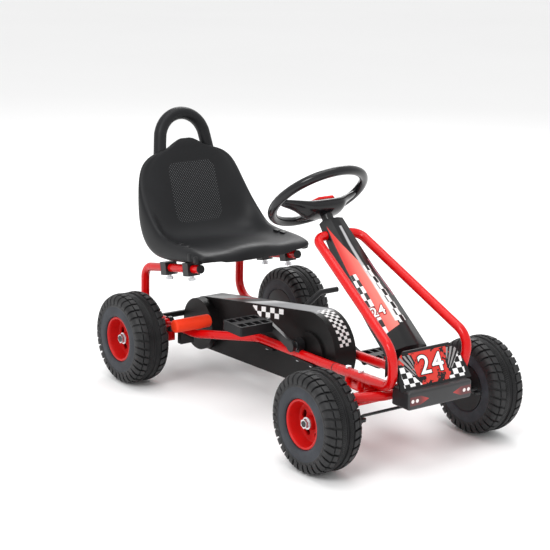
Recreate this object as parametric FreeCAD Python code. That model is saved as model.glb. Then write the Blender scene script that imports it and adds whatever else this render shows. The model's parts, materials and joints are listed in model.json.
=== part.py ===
import FreeCAD
import Part
import math
import os

# Pedal go kart. Millimetres, +Z up, the kart faces -Y, its own left is +X.
# Origin: on the floor, midway between the axles, in the middle of the width.
# A name that ends in _rise is a height over the axles, _ahead and _behind are
# distances along the kart from the nearer axle, and _out is outward from a rail.

# ---- wheels and axles ----
wheel_r = 100.0
tyre_width = 80.0
tyre_wall = 7.0
tyre_shoulder = 26.0
bead_r = 49.5
hub_wall = 5.0
hub_inset = 4.0
hub_disc_t = 3.5
dish_depth = 30.0
dish_draft = 3.5
hub_boss_r = 14.0
hub_boss_len = 16.0
hub_holes = 5
hub_hole_r = 6.0
hub_hole_slot = 3.5
hub_hole_at = 27.5
wheelbase = 655.0
front_half_track = 207.7
rear_half_track = 220.9
rear_axle_r = 7.0
spindle_r = 6.0
axle_past_hub = 10.0
washer_t = 1.7
nut_t = 7.0

# ---- frame tube ----
tube_r = 9.5
tube_wall = 1.5
rail_half = 46.0
rear_tube_in = 90.9
rail_dip_rise = 10.0
rail_dip_in = 22.0
rail_dip_ahead = 81.5
rail_waist_rise = 30.0
rail_waist_ahead = 232.5
rail_mid_rise = 36.0
rail_mid_behind = 197.5
rail_front_rise = 45.0
rail_front_ahead = 17.5
rail_bends = [18.0, 60.0, 60.0, 200.0]
joint_ahead = 27.5
joint_spigot = 22.0
seat_back_behind = 93.5
seat_front_ahead = 131.5
seat_tube_bends = [45.0, 30.0]
seat_rail_angle = 10.8
seat_rail_rise = 136.0
crossmember_r = 7.0
crossmember_ahead = 23.0
crossmember_drop = 10.0
plug_t = 3.0
plug_len = 8.0

# ---- front hoop ----
hoop_start_out = 21.5
hoop_start_behind = 122.5
hoop_start_rise = 48.0
hoop_low_out = 42.0
hoop_low_ahead = 76.5
hoop_over_beam = 7.0
hoop_knee_out = 50.0
hoop_knee_ahead = 84.5
hoop_knee_rise = 140.0
hoop_top_half = 55.0
hoop_over_column = 5.5
hoop_bends = [38.0, 45.0, 26.0]
hoop_bolt_behinds = [76.5, 31.5]
bracket_t = 3.0
bracket_past = 10.0
bracket_in = 8.0

# ---- steering ----
steer_tilt = 41.5
steer_foot_ahead = 16.83
steer_reach = 454.77
rim_r = 101.0
rim_tube_r = 9.5
wheel_hub_r = 36.0
wheel_hub_top = 14.0
wheel_hub_len = 26.0
spoke_t = 8.0
spoke_hub_half = 17.0
spoke_rim_half = 11.0
spoke_root = 20.0
spoke_drop = 6.0
cap_t = 7.0
cap_half = 34.0
cap_near = 14.0
cap_shoulder = 14.0
cap_far = 26.0
cap_far_half = 16.0
column_r = 8.0
column_past_foot = 23.2
collar_r = 12.0
head_tube_r = 15.0
head_tube_at = 94.0
head_tube_len = 40.0
bush_t = 3.0
foot_bush_len = 27.0
loop_half = 16.0
loop_len = 55.0
loop_rod_r = 3.5
kingpin_in = 59.7
kingpin_r = 6.0
kingpin_tube_r = 13.0
kingpin_tube_len = 29.0
knuckle_arm = 61.0
knuckle_arm_half = 8.0
knuckle_eye_r = 9.0
knuckle_block_up = 14.0
knuckle_pin_past = 13.0
spindle_collar_t = 4.0
arm_t = 5.0
arm_rise = 7.0
tie_rod_r = 3.0
tie_rod_rise = 17.0
tie_inner_half = 6.5
tie_pin_up = 20.0
tie_pin_down = 14.0

# ---- front beam, axle plate, bumper, fairing ----
beam_ahead = 40.5
beam_rise = 38.0
beam_half = 72.0
beam_end_drop = 5.0
beam_bend = 34.0
plate_rise = 19.0
plate_t = 4.0
plate_half_len = 18.0
tongue_half = 30.0
tongue_past = 20.0
bumper_half = 80.0
bumper_front_ahead = 117.5
bumper_depth = 49.0
bumper_rise = 29.0
bumper_h = 37.0
bumper_wall = 2.5
bumper_round = 6.0
bumper_boss_x = 57.0
bumper_boss_r = 7.0
bumper_notch_half = 44.0
fairing_t = 3.6
fairing_past_hoop = 8.24
fairing_lean = 28.0
fairing_h = 65.0
fairing_foot_half = 90.0
fairing_wing_half = 86.0
fairing_wing_rise = 20.0
fairing_top_half = 58.0
fairing_chamfer = 16.0

# ---- shroud over the column: down the axis, half width, ridge, edge, back ----
shroud_wall = 2.5
shroud_stations = [(62, 25, 19, 14, -3), (130, 32, 26, 20, 2), (190, 36, 37, 28, 9), (250, 41, 52, 40, 20),
                   (320, 45, 67, 51, 32), (385, 47, 77, 62, 45), (418, 47, 48, 34, 17)]

# ---- drive ----
crank_behind = 277.5
crank_rise = 52.0
crank_len = 92.0
crank_angle = 19.0
crank_axle_r = 6.5
crank_arm_in = 60.0
crank_arm_t = 8.0
crank_arm_r = 9.0
pedal_gap = 4.0
pedal_len = 83.0
pedal_half_len = 34.0
pedal_half_thick = 10.0
pedal_round = 5.0
pedal_cells = 4
pedal_rib = 4.0
pedal_pin_r = 5.0
chainring_r = 58.0
chainring_teeth = 28
sprocket_r = 33.0
sprocket_teeth = 16
sprocket_half_t = 2.0
tooth_h = 5.0
chain_gap = 0.4
chain_t = 5.0
chain_half = 4.0
cover_room_front = 24.0
cover_room_rear = 27.0
cover_nose_ahead = 20.0
cover_nose_drop = 10.0
cover_tail_rise = 3.0
cover_half = 27.0
cover_wall = 2.5
cover_boss_r = 47.0
cover_boss_drop = 8.0
cover_boss_out = 6.0
cover_drum_out = 21.0
cover_ears = [(-62.0, 12.0), (80.0, 134.0)]
cover_ear_t = 4.0
cover_screw_r = 2.3
cover_screws_at = [-48.0, -2.0, 107.0]

# ---- brackets and levers ----
crank_block = (8.0, 13.5, 16.0)
rear_block = (8.0, 20.0, 18.0)
bearing_t = 4.0
tube_over_bearing = 0.5
brake_rise = 28.0
brake_grip_ahead = 90.5
brake_grip_rise = 38.0
brake_grip_r = 14.5
brake_grip_len = 92.0
brake_rod_r = 5.0
brake_bend = 8.0
brake_out = 11.5
brake_eye_r = 10.0
brake_eye_half = 5.4
brake_plate_r = 13.0
brake_plate_out = 5.5
brake_plate_in = 4.0
brake_pin_out = 19.0
brake_pin_cap = 2.5
brake_grip_past = 19.0
hanger_in = (4.0, 38.0)
hanger_ahead = (10.0, 24.0)
hanger_drop = 20.0
shift_ahead = 213.5
shift_rise = 42.0
shift_grip_rise = 101.0
shift_out = 28.8
shift_eye_r = 9.0
shift_rod_r = 6.0
shift_pin_r = 4.0
shift_reach = 61.2
shift_grip_len = 47.0
shift_eye_half = 6.45
shift_plate_in = 10.8
shift_pin_past = 8.7
shift_plate_half = 12.0
shift_upright = 19.0
shift_bends = [10.0, 14.0]

# ---- seat: shell rows are (along, up, normal y, normal z, narrower by, bolster, thick) ----
seat_ahead = 27.5
seat_rise = 193.0
seat_past_tube = 20.0
seat_pad_h = 14.0
seat_bolster = 26.0
seat_bolster_share = 0.55
seat_rows = [(-130, -1, -0.8, 0.6, 8, 2, 12), (-119, 13, -0.2, 0.98, 2, 3, 24),
             (-65, 9, 0.10, 1, 0, 10, 26), (0, 0, 0.06, 1, 0, 17, 26),
             (56, 3, -0.35, 0.94, 0, 32, 32), (82, 19, -0.75, 0.66, 0, 32, 34),
             (97, 49, -0.93, 0.36, 1, 19, 34), (109, 83, -0.94, 0.34, 4, -3, 30),
             (122, 119, -0.94, 0.34, 10, -8, 26), (136, 157, -0.94, 0.34, 23, -7, 24),
             (143, 175, -0.94, 0.34, 38, -5, 24), (147, 187, -0.94, 0.34, 60, -2, 24)]
# ---- hump between the handle's legs: rows are (along, up, normal y, normal z, half width, bolster, thick) ----
neck_rows = [(149.5, 193, -0.94, 0.34, 48, 0, 24), (153.5, 203, -0.94, 0.34, 38, 0, 22),
             (157, 211, -0.94, 0.34, 20, 0, 18)]
handle_r = 14.5
handle_foot_half = 68.0
handle_foot_along = 162.0
handle_foot_rise = 169.0
handle_lean = 12.8
handle_splay = 10.0
handle_arc_r = 60.0
clamp_aheads = [95.5, 5.5]
clamp_half = 15.0
clamp_len = 22.0
knob_r = 7.0

# ---- fits ----
clear = 0.3
run_fit = 0.05
bolt_r = 3.0
bolt_head_r = 5.0
bolt_head_t = 4.0

# ---- places that follow from the sizes ----
V = FreeCAD.Vector
X = V(1, 0, 0)
Y = V(0, 1, 0)
Z = V(0, 0, 1)
axle_z = wheel_r
front_y = -wheelbase / 2
rear_y = wheelbase / 2
kingpin_half = front_half_track - kingpin_in
kingpin_tube_top = axle_z + plate_rise + kingpin_tube_len
hub_face = tyre_width / 2 - hub_inset - dish_depth + hub_boss_len
rear_half = rear_half_track - rear_tube_in
joint_y = rear_y - joint_ahead
joint_z = axle_z + rear_axle_r + bearing_t + tube_over_bearing + tube_r
seat_back_y = rear_y + seat_back_behind
plate_z = axle_z + plate_rise
plate_top = plate_z + plate_t
beam_y = front_y - beam_ahead
beam_z = axle_z + beam_rise
hoop_low_z = beam_z + hoop_over_beam + 2 * tube_r
bumper_front = front_y - bumper_front_ahead
bumper_back = bumper_front + bumper_depth
bumper_low = axle_z + bumper_rise
bumper_high = bumper_low + bumper_h
fairing_a = math.radians(fairing_lean)
fairing_foot_y = front_y - hoop_knee_ahead - tube_r / math.cos(fairing_a) - fairing_past_hoop
steer_a = math.radians(steer_tilt)
steer_up = V(0, math.sin(steer_a), math.cos(steer_a))
steer_fwd = V(0, -math.cos(steer_a), math.sin(steer_a))
steer_foot = V(0, front_y - steer_foot_ahead, plate_z + plate_t / 2)
steer_o = steer_foot + steer_up * steer_reach
column_len = steer_reach + column_past_foot
crank_c = V(0, front_y + crank_behind, axle_z + crank_rise)
rear_c = V(0, rear_y, axle_z)
cover_front_r = chainring_r + cover_room_front
cover_rear_r = sprocket_r + cover_room_rear
cover_nose_c = crank_c - Y * cover_nose_ahead - Z * cover_nose_drop
cover_tail_c = rear_c + Z * cover_tail_rise
cover_boss_c = cover_nose_c - Z * cover_boss_drop
crank_arm_out = crank_arm_in + crank_arm_t
pedal_in = crank_arm_out + pedal_gap
pedal_out = pedal_in + pedal_len
brake_c = V(-rear_half - tube_r, joint_y, axle_z + brake_rise)
brake_grip_y = rear_y - brake_grip_ahead
brake_grip_z = axle_z + brake_grip_rise
shift_c = V(rail_half + shift_out, rear_y - shift_ahead, axle_z + shift_rise)
seat_c = V(0, rear_y - seat_ahead, axle_z + seat_rise)


# ---------------------------------------------------------------- helpers
def steer_at(down, forward=0.0, side=0.0):
    return steer_o - steer_up * down + steer_fwd * forward + X * side


def cyl(r, a, b):
    d = V(b) - V(a)
    return Part.makeCylinder(r, d.Length, V(a), d)


def box(lo, hi):
    return Part.makeBox(hi[0] - lo[0], hi[1] - lo[1], hi[2] - lo[2], V(*lo))


def mirror(shape):
    return shape.mirror(V(0, 0, 0), X)


def both(shape):
    return group([shape, mirror(shape)])


def fuse(shapes):
    out = shapes[0]
    if len(shapes) > 1:
        out = out.fuse(shapes[1:])
    return out.removeSplitter()


def group(shapes):
    return Part.makeCompound(shapes)


def largest(shape):
    return sorted(shape.Solids, key=lambda s: -s.Volume)[0]


def face_of(points):
    ring = [V(p) for p in points]
    return Part.Face(Part.makePolygon(ring + [ring[0]]))


def bent(points, radii):
    edges = []
    at = V(points[0])
    for i in range(1, len(points) - 1):
        p = V(points[i])
        a = (V(points[i - 1]) - p).normalize()
        b = (V(points[i + 1]) - p).normalize()
        half = a.getAngle(b) / 2
        run = radii[i - 1] / math.tan(half)
        start = p + a * run
        end = p + b * run
        mid = p + (a + b).normalize() * (radii[i - 1] / math.sin(half) - radii[i - 1])
        if (start - at).Length > 0.01:
            edges.append(Part.makeLine(at, start))
        edges.append(Part.Arc(start, mid, end).toShape())
        at = end
    edges.append(Part.makeLine(at, V(points[-1])))
    return Part.Wire(edges)


def sweep(points, radii, r):
    start = V(points[0])
    ring = Part.Wire(Part.makeCircle(r, start, V(points[1]) - start))
    return bent(points, radii).makePipeShell([ring], True, False)


def pipe(points, radii, r, wall):
    return sweep(points, radii, r).cut(sweep(points, radii, r - wall))


def revolve_x(profile, centre, side=1):
    ring = [centre + V(side * x, 0, r) for x, r in profile]
    return face_of(ring).revolve(centre, X, 360)


def hex_prism(r, h, base, axis):
    d = V(axis).normalize()
    u = d.cross(X if abs(d.x) < 0.9 else Y).normalize()
    w = d.cross(u).normalize()
    corner = r / math.cos(math.radians(30))
    pts = []
    for i in range(6):
        a = math.radians(60 * i)
        pts.append(V(base) + (u * math.cos(a) + w * math.sin(a)) * corner)
    return face_of(pts).extrude(d * h)


def bolt(a, b):
    d = (V(b) - V(a)).normalize()
    top = hex_prism(bolt_head_r, bolt_head_t, V(a) - d * bolt_head_t, d)
    nut = hex_prism(bolt_head_r, bolt_head_t, V(b), d)
    return fuse([cyl(bolt_r, a, V(b) + d * (bolt_head_t + 2)), top, nut])


def nut_on(seat, axis, bore, across):
    d = V(axis).normalize()
    washer = cyl(across + 3.5, V(seat) + d * clear, V(seat) + d * (clear + washer_t))
    nut = hex_prism(across, nut_t, V(seat) + d * (clear + washer_t), d)
    return washer.fuse(nut).cut(cyl(bore, V(seat) - d * 30, V(seat) + d * 30))


def save(name, shape):
    shape.exportStep("parts/" + name + ".step")


def save_pair(name, shape):
    save(name + "_left", shape)
    save(name + "_right", mirror(shape))


# ---------------------------------------------------------------- frame
def rail_points():
    return [V(rear_half, joint_y, joint_z),
            V(rear_half, joint_y - 16, joint_z),
            V(rear_half - rail_dip_in, rear_y - rail_dip_ahead, axle_z + rail_dip_rise),
            V(rail_half - 1, rear_y - rail_waist_ahead, axle_z + rail_waist_rise),
            V(rail_half, front_y + rail_mid_behind, axle_z + rail_mid_rise),
            V(rail_half, front_y - rail_front_ahead, axle_z + rail_front_rise)]


def rail_solid():
    return sweep(rail_points(), rail_bends, tube_r)


def rails():
    return rail_solid().fuse(mirror(rail_solid()))


def rail_z(y):
    points = rail_points()
    a, b = (points[3], points[4]) if y >= points[4].y else (points[4], points[5])
    return a.z + (b.z - a.z) * (y - a.y) / (b.y - a.y)


def rail():
    tube = pipe(rail_points(), rail_bends, tube_r, tube_wall)
    inner = tube_r - tube_wall
    a = V(rear_half, joint_y - 12, joint_z)
    b = V(rear_half, joint_y + joint_spigot, joint_z)
    bore = cyl(inner - tube_wall - 1, a, b)
    spigot = cyl(inner - clear, a, b).cut(bore)
    ring = cyl(inner, a, a + Y * 12).cut(bore)
    return fuse([tube, ring, spigot])


def seat_tube_points():
    rise = math.tan(math.radians(seat_rail_angle))
    front = rear_y - seat_front_ahead
    low = axle_z + seat_rail_rise - 8
    return [V(rear_half, joint_y, joint_z),
            V(rear_half, seat_back_y, joint_z),
            V(rear_half, seat_back_y, low),
            V(rear_half, front, low + (seat_back_y - front) * rise)]


def seat_tube_solid():
    return sweep(seat_tube_points(), seat_tube_bends, tube_r)


def rear_crossmember():
    y = seat_back_y - crossmember_ahead
    z = joint_z - crossmember_drop
    out = cyl(crossmember_r, V(-rear_half, y, z), V(rear_half, y, z))
    return largest(out.cut(seat_tube_solid()).cut(mirror(seat_tube_solid())))


def hoop_points():
    top = steer_at(head_tube_at, hoop_over_column)
    return [V(rail_half + hoop_start_out, front_y + hoop_start_behind, axle_z + hoop_start_rise),
            V(rail_half + hoop_low_out, front_y - hoop_low_ahead, hoop_low_z),
            V(rail_half + hoop_knee_out, front_y - hoop_knee_ahead, axle_z + hoop_knee_rise),
            V(hoop_top_half, top.y, top.z),
            V(0, top.y, top.z)]


def hoop_solid():
    return sweep(hoop_points(), hoop_bends, tube_r)


def hoop_line(y):
    a, b = hoop_points()[:2]
    return a + (b - a) * ((y - a.y) / (b.y - a.y))


def hoop_bolt_spots():
    return [hoop_line(front_y + behind) for behind in hoop_bolt_behinds]


def hoop():
    tube = pipe(hoop_points(), hoop_bends, tube_r, tube_wall)
    a, b = head_tube_ends()
    tube = tube.cut(cyl(head_tube_r, a, b))
    for p in hoop_bolt_spots():
        tube = tube.cut(cyl(bolt_r + clear, p - Z * 30, p + Z * 30))
    return tube


def head_tube_ends():
    half = head_tube_len / 2
    return steer_at(head_tube_at - half), steer_at(head_tube_at + half)


def head_tube():
    a, b = head_tube_ends()
    return cyl(head_tube_r, a, b).cut(cyl(column_r + bush_t, a, b))


def bracket_low():
    middle = sum(p.y for p in hoop_bolt_spots()) / len(hoop_bolt_behinds)
    return rail_z(middle) - tube_r - bracket_t + 0.5


def hoop_bracket():
    low = bracket_low()
    spots = hoop_bolt_spots()
    y0 = min(p.y for p in spots) - bracket_past
    y1 = max(p.y for p in spots) + bracket_past
    outer = rail_half + hoop_low_out
    parts = [box((rail_half - bracket_in, y0, low), (outer, y1, low + bracket_t))]
    parts.append(box((rail_half - 1.5, y0, low), (rail_half + 1.5, y1, low + 10)))
    for p in spots:
        parts.append(cyl(bolt_r * 2 + 0.5, V(p.x, p.y, low), p))
    out = fuse(parts).cut(hoop_solid()).cut(rail_solid())
    for p in spots:
        out = out.cut(cyl(bolt_r + clear, p - Z * 60, p + Z * 10))
    return largest(out)


def hoop_bolts():
    out = []
    for p in hoop_bolt_spots():
        out.append(bolt(p + Z * (tube_r + 0.6), V(p.x, p.y, bracket_low())))
    return group(out + [mirror(b) for b in out])


def plug(end, outward):
    d = V(outward).normalize()
    return cyl(tube_r, end, end + d * plug_t).fuse(cyl(tube_r - tube_wall, end - d * plug_len, end))


def tube_plugs():
    ends = []
    for points in (seat_tube_points()[-2:], rail_points()[-2:], hoop_points()[1::-1]):
        ends.append(plug(points[1], points[1] - points[0]))
    return group(ends + [mirror(e) for e in ends])


# ---------------------------------------------------------------- front axle
def beam_points():
    outer = V(kingpin_half - 6, front_y - 2, beam_z - beam_end_drop)
    inner = V(beam_half + 6, beam_y, beam_z)
    return [outer, inner, V(-inner.x, inner.y, inner.z), V(-outer.x, outer.y, outer.z)]


def kingpin_tube():
    return cyl(kingpin_tube_r, V(kingpin_half, front_y, plate_z), V(kingpin_half, front_y, kingpin_tube_top))


def front_beam():
    out = pipe(beam_points(), [beam_bend, beam_bend], tube_r, tube_wall)
    return out.cut(kingpin_tube()).cut(mirror(kingpin_tube()))


def foot_ends():
    half = foot_bush_len / 2
    return steer_at(steer_reach - half), steer_at(steer_reach + half)


def axle_plate():
    w = plate_half_len
    flat = box((-kingpin_half, front_y - w, plate_z), (kingpin_half, front_y + w, plate_top))
    tongue = box((-tongue_half, steer_foot.y - tongue_past, plate_z), (tongue_half, front_y, plate_top))
    flange = box((-kingpin_half + 10, front_y + w - plate_t, plate_z),
                 (kingpin_half - 10, front_y + w, plate_z + kingpin_tube_r))
    a, b = foot_ends()
    sleeve = cyl(column_r + bush_t + 3, a, b)
    out = fuse([flat, tongue, flange, sleeve, kingpin_tube(), mirror(kingpin_tube())])
    out = out.cut(rails())
    out = out.cut(cyl(column_r + bush_t, a + steer_up * 5, b - steer_up * 5))
    pin = cyl(kingpin_r + run_fit, V(kingpin_half, front_y, 0), V(kingpin_half, front_y, kingpin_tube_top + 20))
    return out.cut(pin).cut(mirror(pin))


def rail_foot():
    low = (rail_half - 8, front_y - 10, plate_top)
    high = (rail_half + 8, front_y + 10, rail_z(front_y) - tube_r / 4)
    return largest(box(low, high).cut(rail_solid()))


def column_bushings():
    out = []
    for a, b in (foot_ends(), head_tube_ends()):
        bore = cyl(column_r + run_fit, a + steer_up, b - steer_up)
        out.append(cyl(column_r + bush_t, a, b).cut(bore))
    return group(out)


def knuckle():
    x = kingpin_half
    arm_low = axle_z + arm_rise
    tip = front_y - knuckle_arm
    pin = cyl(kingpin_r, V(x, front_y, axle_z - 10), V(x, front_y, kingpin_tube_top + knuckle_pin_past))
    block = cyl(kingpin_tube_r + 1, V(x, front_y, axle_z - knuckle_block_up), V(x, front_y, plate_z - clear))
    spindle = cyl(spindle_r, V(x, front_y, axle_z), V(front_half_track + hub_face + axle_past_hub, front_y, axle_z))
    inner_face = front_half_track - tyre_width / 2 + 2 - clear
    collar = cyl(spindle_r + spindle_collar_t, V(x, front_y, axle_z), V(inner_face, front_y, axle_z))
    arm = box((x - knuckle_arm_half, tip, arm_low), (x + knuckle_arm_half, front_y, arm_low + arm_t))
    eye = cyl(knuckle_eye_r, V(x, tip, arm_low), V(x, tip, arm_low + arm_t))
    hole = cyl(tie_rod_r + run_fit, V(x, tip, arm_low - 5), V(x, tip, arm_low + arm_t + 2))
    return fuse([pin, block, spindle, collar, arm, eye]).cut(hole)


def knuckle_nuts():
    top = nut_on(V(kingpin_half, front_y, kingpin_tube_top), Z, kingpin_r, 9.0)
    end = nut_on(V(front_half_track + hub_face, front_y, axle_z), X, spindle_r, 8.5)
    return group([top, end])


def tie_rod():
    tip = front_y - knuckle_arm
    z = axle_z + tie_rod_rise
    points = [V(kingpin_half, tip, z - tie_pin_down), V(kingpin_half, tip, z),
              V(tie_inner_half, tip, z), V(tie_inner_half, tip, z + tie_pin_up)]
    return sweep(points, [4.5, 4.5], tie_rod_r)


# ---------------------------------------------------------------- bumper, fairing, shroud
def bumper():
    w = bumper_wall
    outer = box((-bumper_half, bumper_front, bumper_low), (bumper_half, bumper_back, bumper_high))
    edges = [e for e in outer.Edges if abs(e.BoundBox.YMin - bumper_front) < 0.01]
    outer = outer.makeFillet(bumper_round, edges)
    out = outer.cut(box((-bumper_half + w, bumper_front + w, bumper_low + w),
                        (bumper_half - w, bumper_back + 1, bumper_high - w)))
    boss = cyl(bumper_boss_r, V(bumper_boss_x, bumper_front + w - 0.5, beam_z), V(bumper_boss_x, beam_y, beam_z))
    out = fuse([out, boss, mirror(boss)])
    out = out.cut(sweep(beam_points(), [beam_bend, beam_bend], tube_r))
    out = out.cut(box((-bumper_notch_half, bumper_back - 14, bumper_low - 1),
                      (bumper_notch_half, bumper_back + 1, bumper_low + 22)))
    return largest(out)


def fairing():
    lean = math.tan(fairing_a)
    outline = [(fairing_foot_half, 0), (fairing_wing_half, fairing_wing_rise),
               (fairing_top_half + fairing_chamfer, fairing_h - fairing_chamfer * 0.9),
               (fairing_top_half, fairing_h)]
    ring = outline + [(-x, h) for x, h in reversed(outline)]
    return face_of([V(x, fairing_foot_y + h * lean, bumper_high + h) for x, h in ring]).extrude(Y * fairing_t)


def shroud_section(station, wall, drop, move=0.0):
    down, half, ridge, edge, back = station
    points = [(-half + wall, back - drop), (-half + wall, edge - wall * 0.6), (-half * 0.35, ridge - wall),
              (half * 0.35, ridge - wall), (half - wall, edge - wall * 0.6), (half - wall, back - drop)]
    ring = [steer_at(down + move, forward, side) for side, forward in points]
    return Part.makePolygon(ring + [ring[0]])


def shroud():
    outer = [shroud_section(s, 0.0, 0.0) for s in shroud_stations]
    inner = [shroud_section(s, shroud_wall, 20.0) for s in shroud_stations]
    inner.insert(0, shroud_section(shroud_stations[0], shroud_wall, 20.0, -3.0))
    inner.append(shroud_section(shroud_stations[-1], shroud_wall, 20.0, 3.0))
    out = Part.makeLoft(outer, True, True).cut(Part.makeLoft(inner, True, True))
    top = hoop_points()[-1]
    for slide in (V(0, 0, 0), V(0, 8, -9)):
        out = out.cut(cyl(tube_r + clear, top + slide - X * 80, top + slide + X * 80))
    return largest(out)


# ---------------------------------------------------------------- steering
def steering_column():
    shaft = cyl(column_r, steer_at(wheel_hub_top + 16), steer_at(column_len))
    collar = cyl(collar_r, steer_at(wheel_hub_top + wheel_hub_len), head_tube_ends()[0] + steer_up * clear)
    low = column_len - loop_rod_r
    points = [steer_at(low), steer_at(low, 0.0, loop_half), steer_at(low, loop_len, loop_half),
              steer_at(low, loop_len, -loop_half), steer_at(low, 0.0, -loop_half), steer_at(low, 0.0, -0.2)]
    return fuse([shaft, collar, sweep(points, [6, 6, 6, 6], loop_rod_r)])


def spoke(along, wide):
    a = steer_at(wheel_hub_top + spoke_drop) + along * spoke_root
    b = steer_o + along * (rim_r - 2)
    face = face_of([a + wide * spoke_hub_half, a - wide * spoke_hub_half,
                    b - wide * spoke_rim_half, b + wide * spoke_rim_half])
    n = face.normalAt(0, 0)
    down = n if n.dot(steer_up) < 0 else n * -1
    return face.extrude(down * spoke_t)


def steering_wheel():
    rim = Part.makeTorus(rim_r, rim_tube_r, steer_o, steer_up)
    hub = cyl(wheel_hub_r, steer_at(wheel_hub_top), steer_at(wheel_hub_top + wheel_hub_len))
    hub = hub.makeFillet(5, hub.Edges[:1])
    spokes = [spoke(X, steer_fwd), spoke(X * -1, steer_fwd), spoke(steer_fwd * -1, X)]
    out = fuse([rim, hub] + spokes)
    return out.cut(cyl(column_r, steer_at(wheel_hub_top + 16), steer_at(60)))


def steering_cap():
    right = [(cap_half, -cap_near), (cap_half, cap_shoulder), (cap_far_half, cap_far)]
    outline = right + [(-x, f) for x, f in reversed(right)]
    return face_of([steer_at(wheel_hub_top, f, s) for s, f in outline]).extrude(steer_up * cap_t)


# ---------------------------------------------------------------- wheels
def wheel_centre(end, side):
    if end == "front":
        return V(side * front_half_track, front_y, axle_z)
    return V(side * rear_half_track, rear_y, axle_z)


def tyre(centre, side):
    h = tyre_width / 2
    r = wheel_r
    w = tyre_wall
    s = r - tyre_shoulder
    half = [(h - 24, r), (h - 13, r - 3), (h - 4, r - 13), (h, s), (h, bead_r + 6), (h - 8, bead_r)]
    core = [(h - 22, r - w), (h - w - 3, r - w - 9), (h - w, s), (h - w, bead_r + 6), (h - 8 - w, bead_r)]
    outer = [(-x, q) for x, q in reversed(half)] + half
    inner = list(reversed(core)) + [(-x, q) for x, q in core]
    return revolve_x(outer + inner, centre, side)


def hub(centre, side, bore):
    h = tyre_width / 2
    lip = h - hub_inset
    floor = lip - dish_depth
    top = floor + hub_disc_t
    rin = bead_r - hub_wall
    deep = rin - dish_draft
    back = -h + 2.0
    boss = hub_boss_r
    end = floor + hub_boss_len
    prof = [(back, bore), (back, bead_r), (lip - 2.0, bead_r), (lip - 0.6, bead_r - 0.6), (lip, bead_r - 2.0),
            (lip, rin + 1.2), (lip - 0.5, rin + 0.3), (lip - 1.5, rin - 0.4), (top + 3.5, deep),
            (top + 1.1, deep - 0.9), (top, deep - 3.2), (top, boss + 2.5), (top + 1.5, boss),
            (end - 1, boss - 1.5), (end, boss - 2.5), (end, bore)]
    cavity = [(back + 3, boss), (back + 3, deep), (floor, deep), (floor, boss)]
    body = revolve_x(prof, centre, side).cut(revolve_x(cavity, centre, side))
    for i in range(hub_holes):
        a = 2 * math.pi * i / hub_holes + math.pi / 2
        out = V(0, math.cos(a), math.sin(a))
        along = V(0, -math.sin(a), math.cos(a))
        for k in (-hub_hole_slot, 0.0, hub_hole_slot):
            p = centre + out * hub_hole_at + along * k
            body = body.cut(cyl(hub_hole_r, p + X * side * (floor - 1), p + X * side * (top + 2.5)))
    return body


# ---------------------------------------------------------------- rear axle and drive
def rear_axle():
    end = rear_half_track + hub_face + axle_past_hub
    return cyl(rear_axle_r, V(-end, rear_y, axle_z), V(end, rear_y, axle_z))


def rear_nuts():
    nut = nut_on(V(rear_half_track + hub_face, rear_y, axle_z), X, rear_axle_r, 9.0)
    return both(nut)


def toothed(r, teeth, centre, bore):
    pts = []
    for i in range(teeth * 4):
        a = 2 * math.pi * i / (teeth * 4)
        q = r if i % 4 in (0, 1) else r - tooth_h
        pts.append(centre + V(-sprocket_half_t, q * math.cos(a), q * math.sin(a)))
    out = face_of(pts).extrude(X * 2 * sprocket_half_t)
    return out.cut(cyl(bore, centre - X * 20, centre + X * 20))


def chainring():
    out = toothed(chainring_r, chainring_teeth, crank_c, crank_axle_r)
    at = chainring_r * 0.575
    for i in range(5):
        a = 2 * math.pi * i / 5
        p = crank_c + V(0, at * math.cos(a), at * math.sin(a))
        out = out.cut(cyl(at * 0.3, p - X * 20, p + X * 20))
    return out


def belt(front_c, front_r, back_c, rear_r, x0, x1):
    d = (back_c - front_c).Length
    base = math.atan2(back_c.z - front_c.z, back_c.y - front_c.y)
    off = math.acos((front_r - rear_r) / d)

    def spot(centre, r, a):
        return V(x0, centre.y + r * math.cos(a), centre.z + r * math.sin(a))

    f_up = spot(front_c, front_r, base + off)
    f_mid = spot(front_c, front_r, base + math.pi)
    f_low = spot(front_c, front_r, base - off)
    r_up = spot(back_c, rear_r, base + off)
    r_mid = spot(back_c, rear_r, base)
    r_low = spot(back_c, rear_r, base - off)
    wire = Part.Wire([Part.Arc(f_up, f_mid, f_low).toShape(), Part.makeLine(f_low, r_low),
                      Part.Arc(r_low, r_mid, r_up).toShape(), Part.makeLine(r_up, f_up)])
    return Part.Face(wire).extrude(X * (x1 - x0))


def chain():
    front = chainring_r + chain_gap
    rear = sprocket_r + chain_gap
    outer = belt(crank_c, front + chain_t, rear_c, rear + chain_t, -chain_half, chain_half)
    return outer.cut(belt(crank_c, front, rear_c, rear, -chain_half - 1, chain_half + 1))


def cover_ear(y0, y1):
    low = rail_z(0.5 * (y0 + y1)) - tube_r
    ear = box((cover_half - 1, y0, low - cover_ear_t), (rail_half + 8, y1, low + 1.5))
    return largest(ear.cut(rail_solid()))


def cover_ear_low(y):
    for a, b in cover_ears:
        if crank_c.y + a < y < crank_c.y + b:
            return rail_z(crank_c.y + 0.5 * (a + b)) - tube_r - cover_ear_t
    return 0.0


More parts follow.
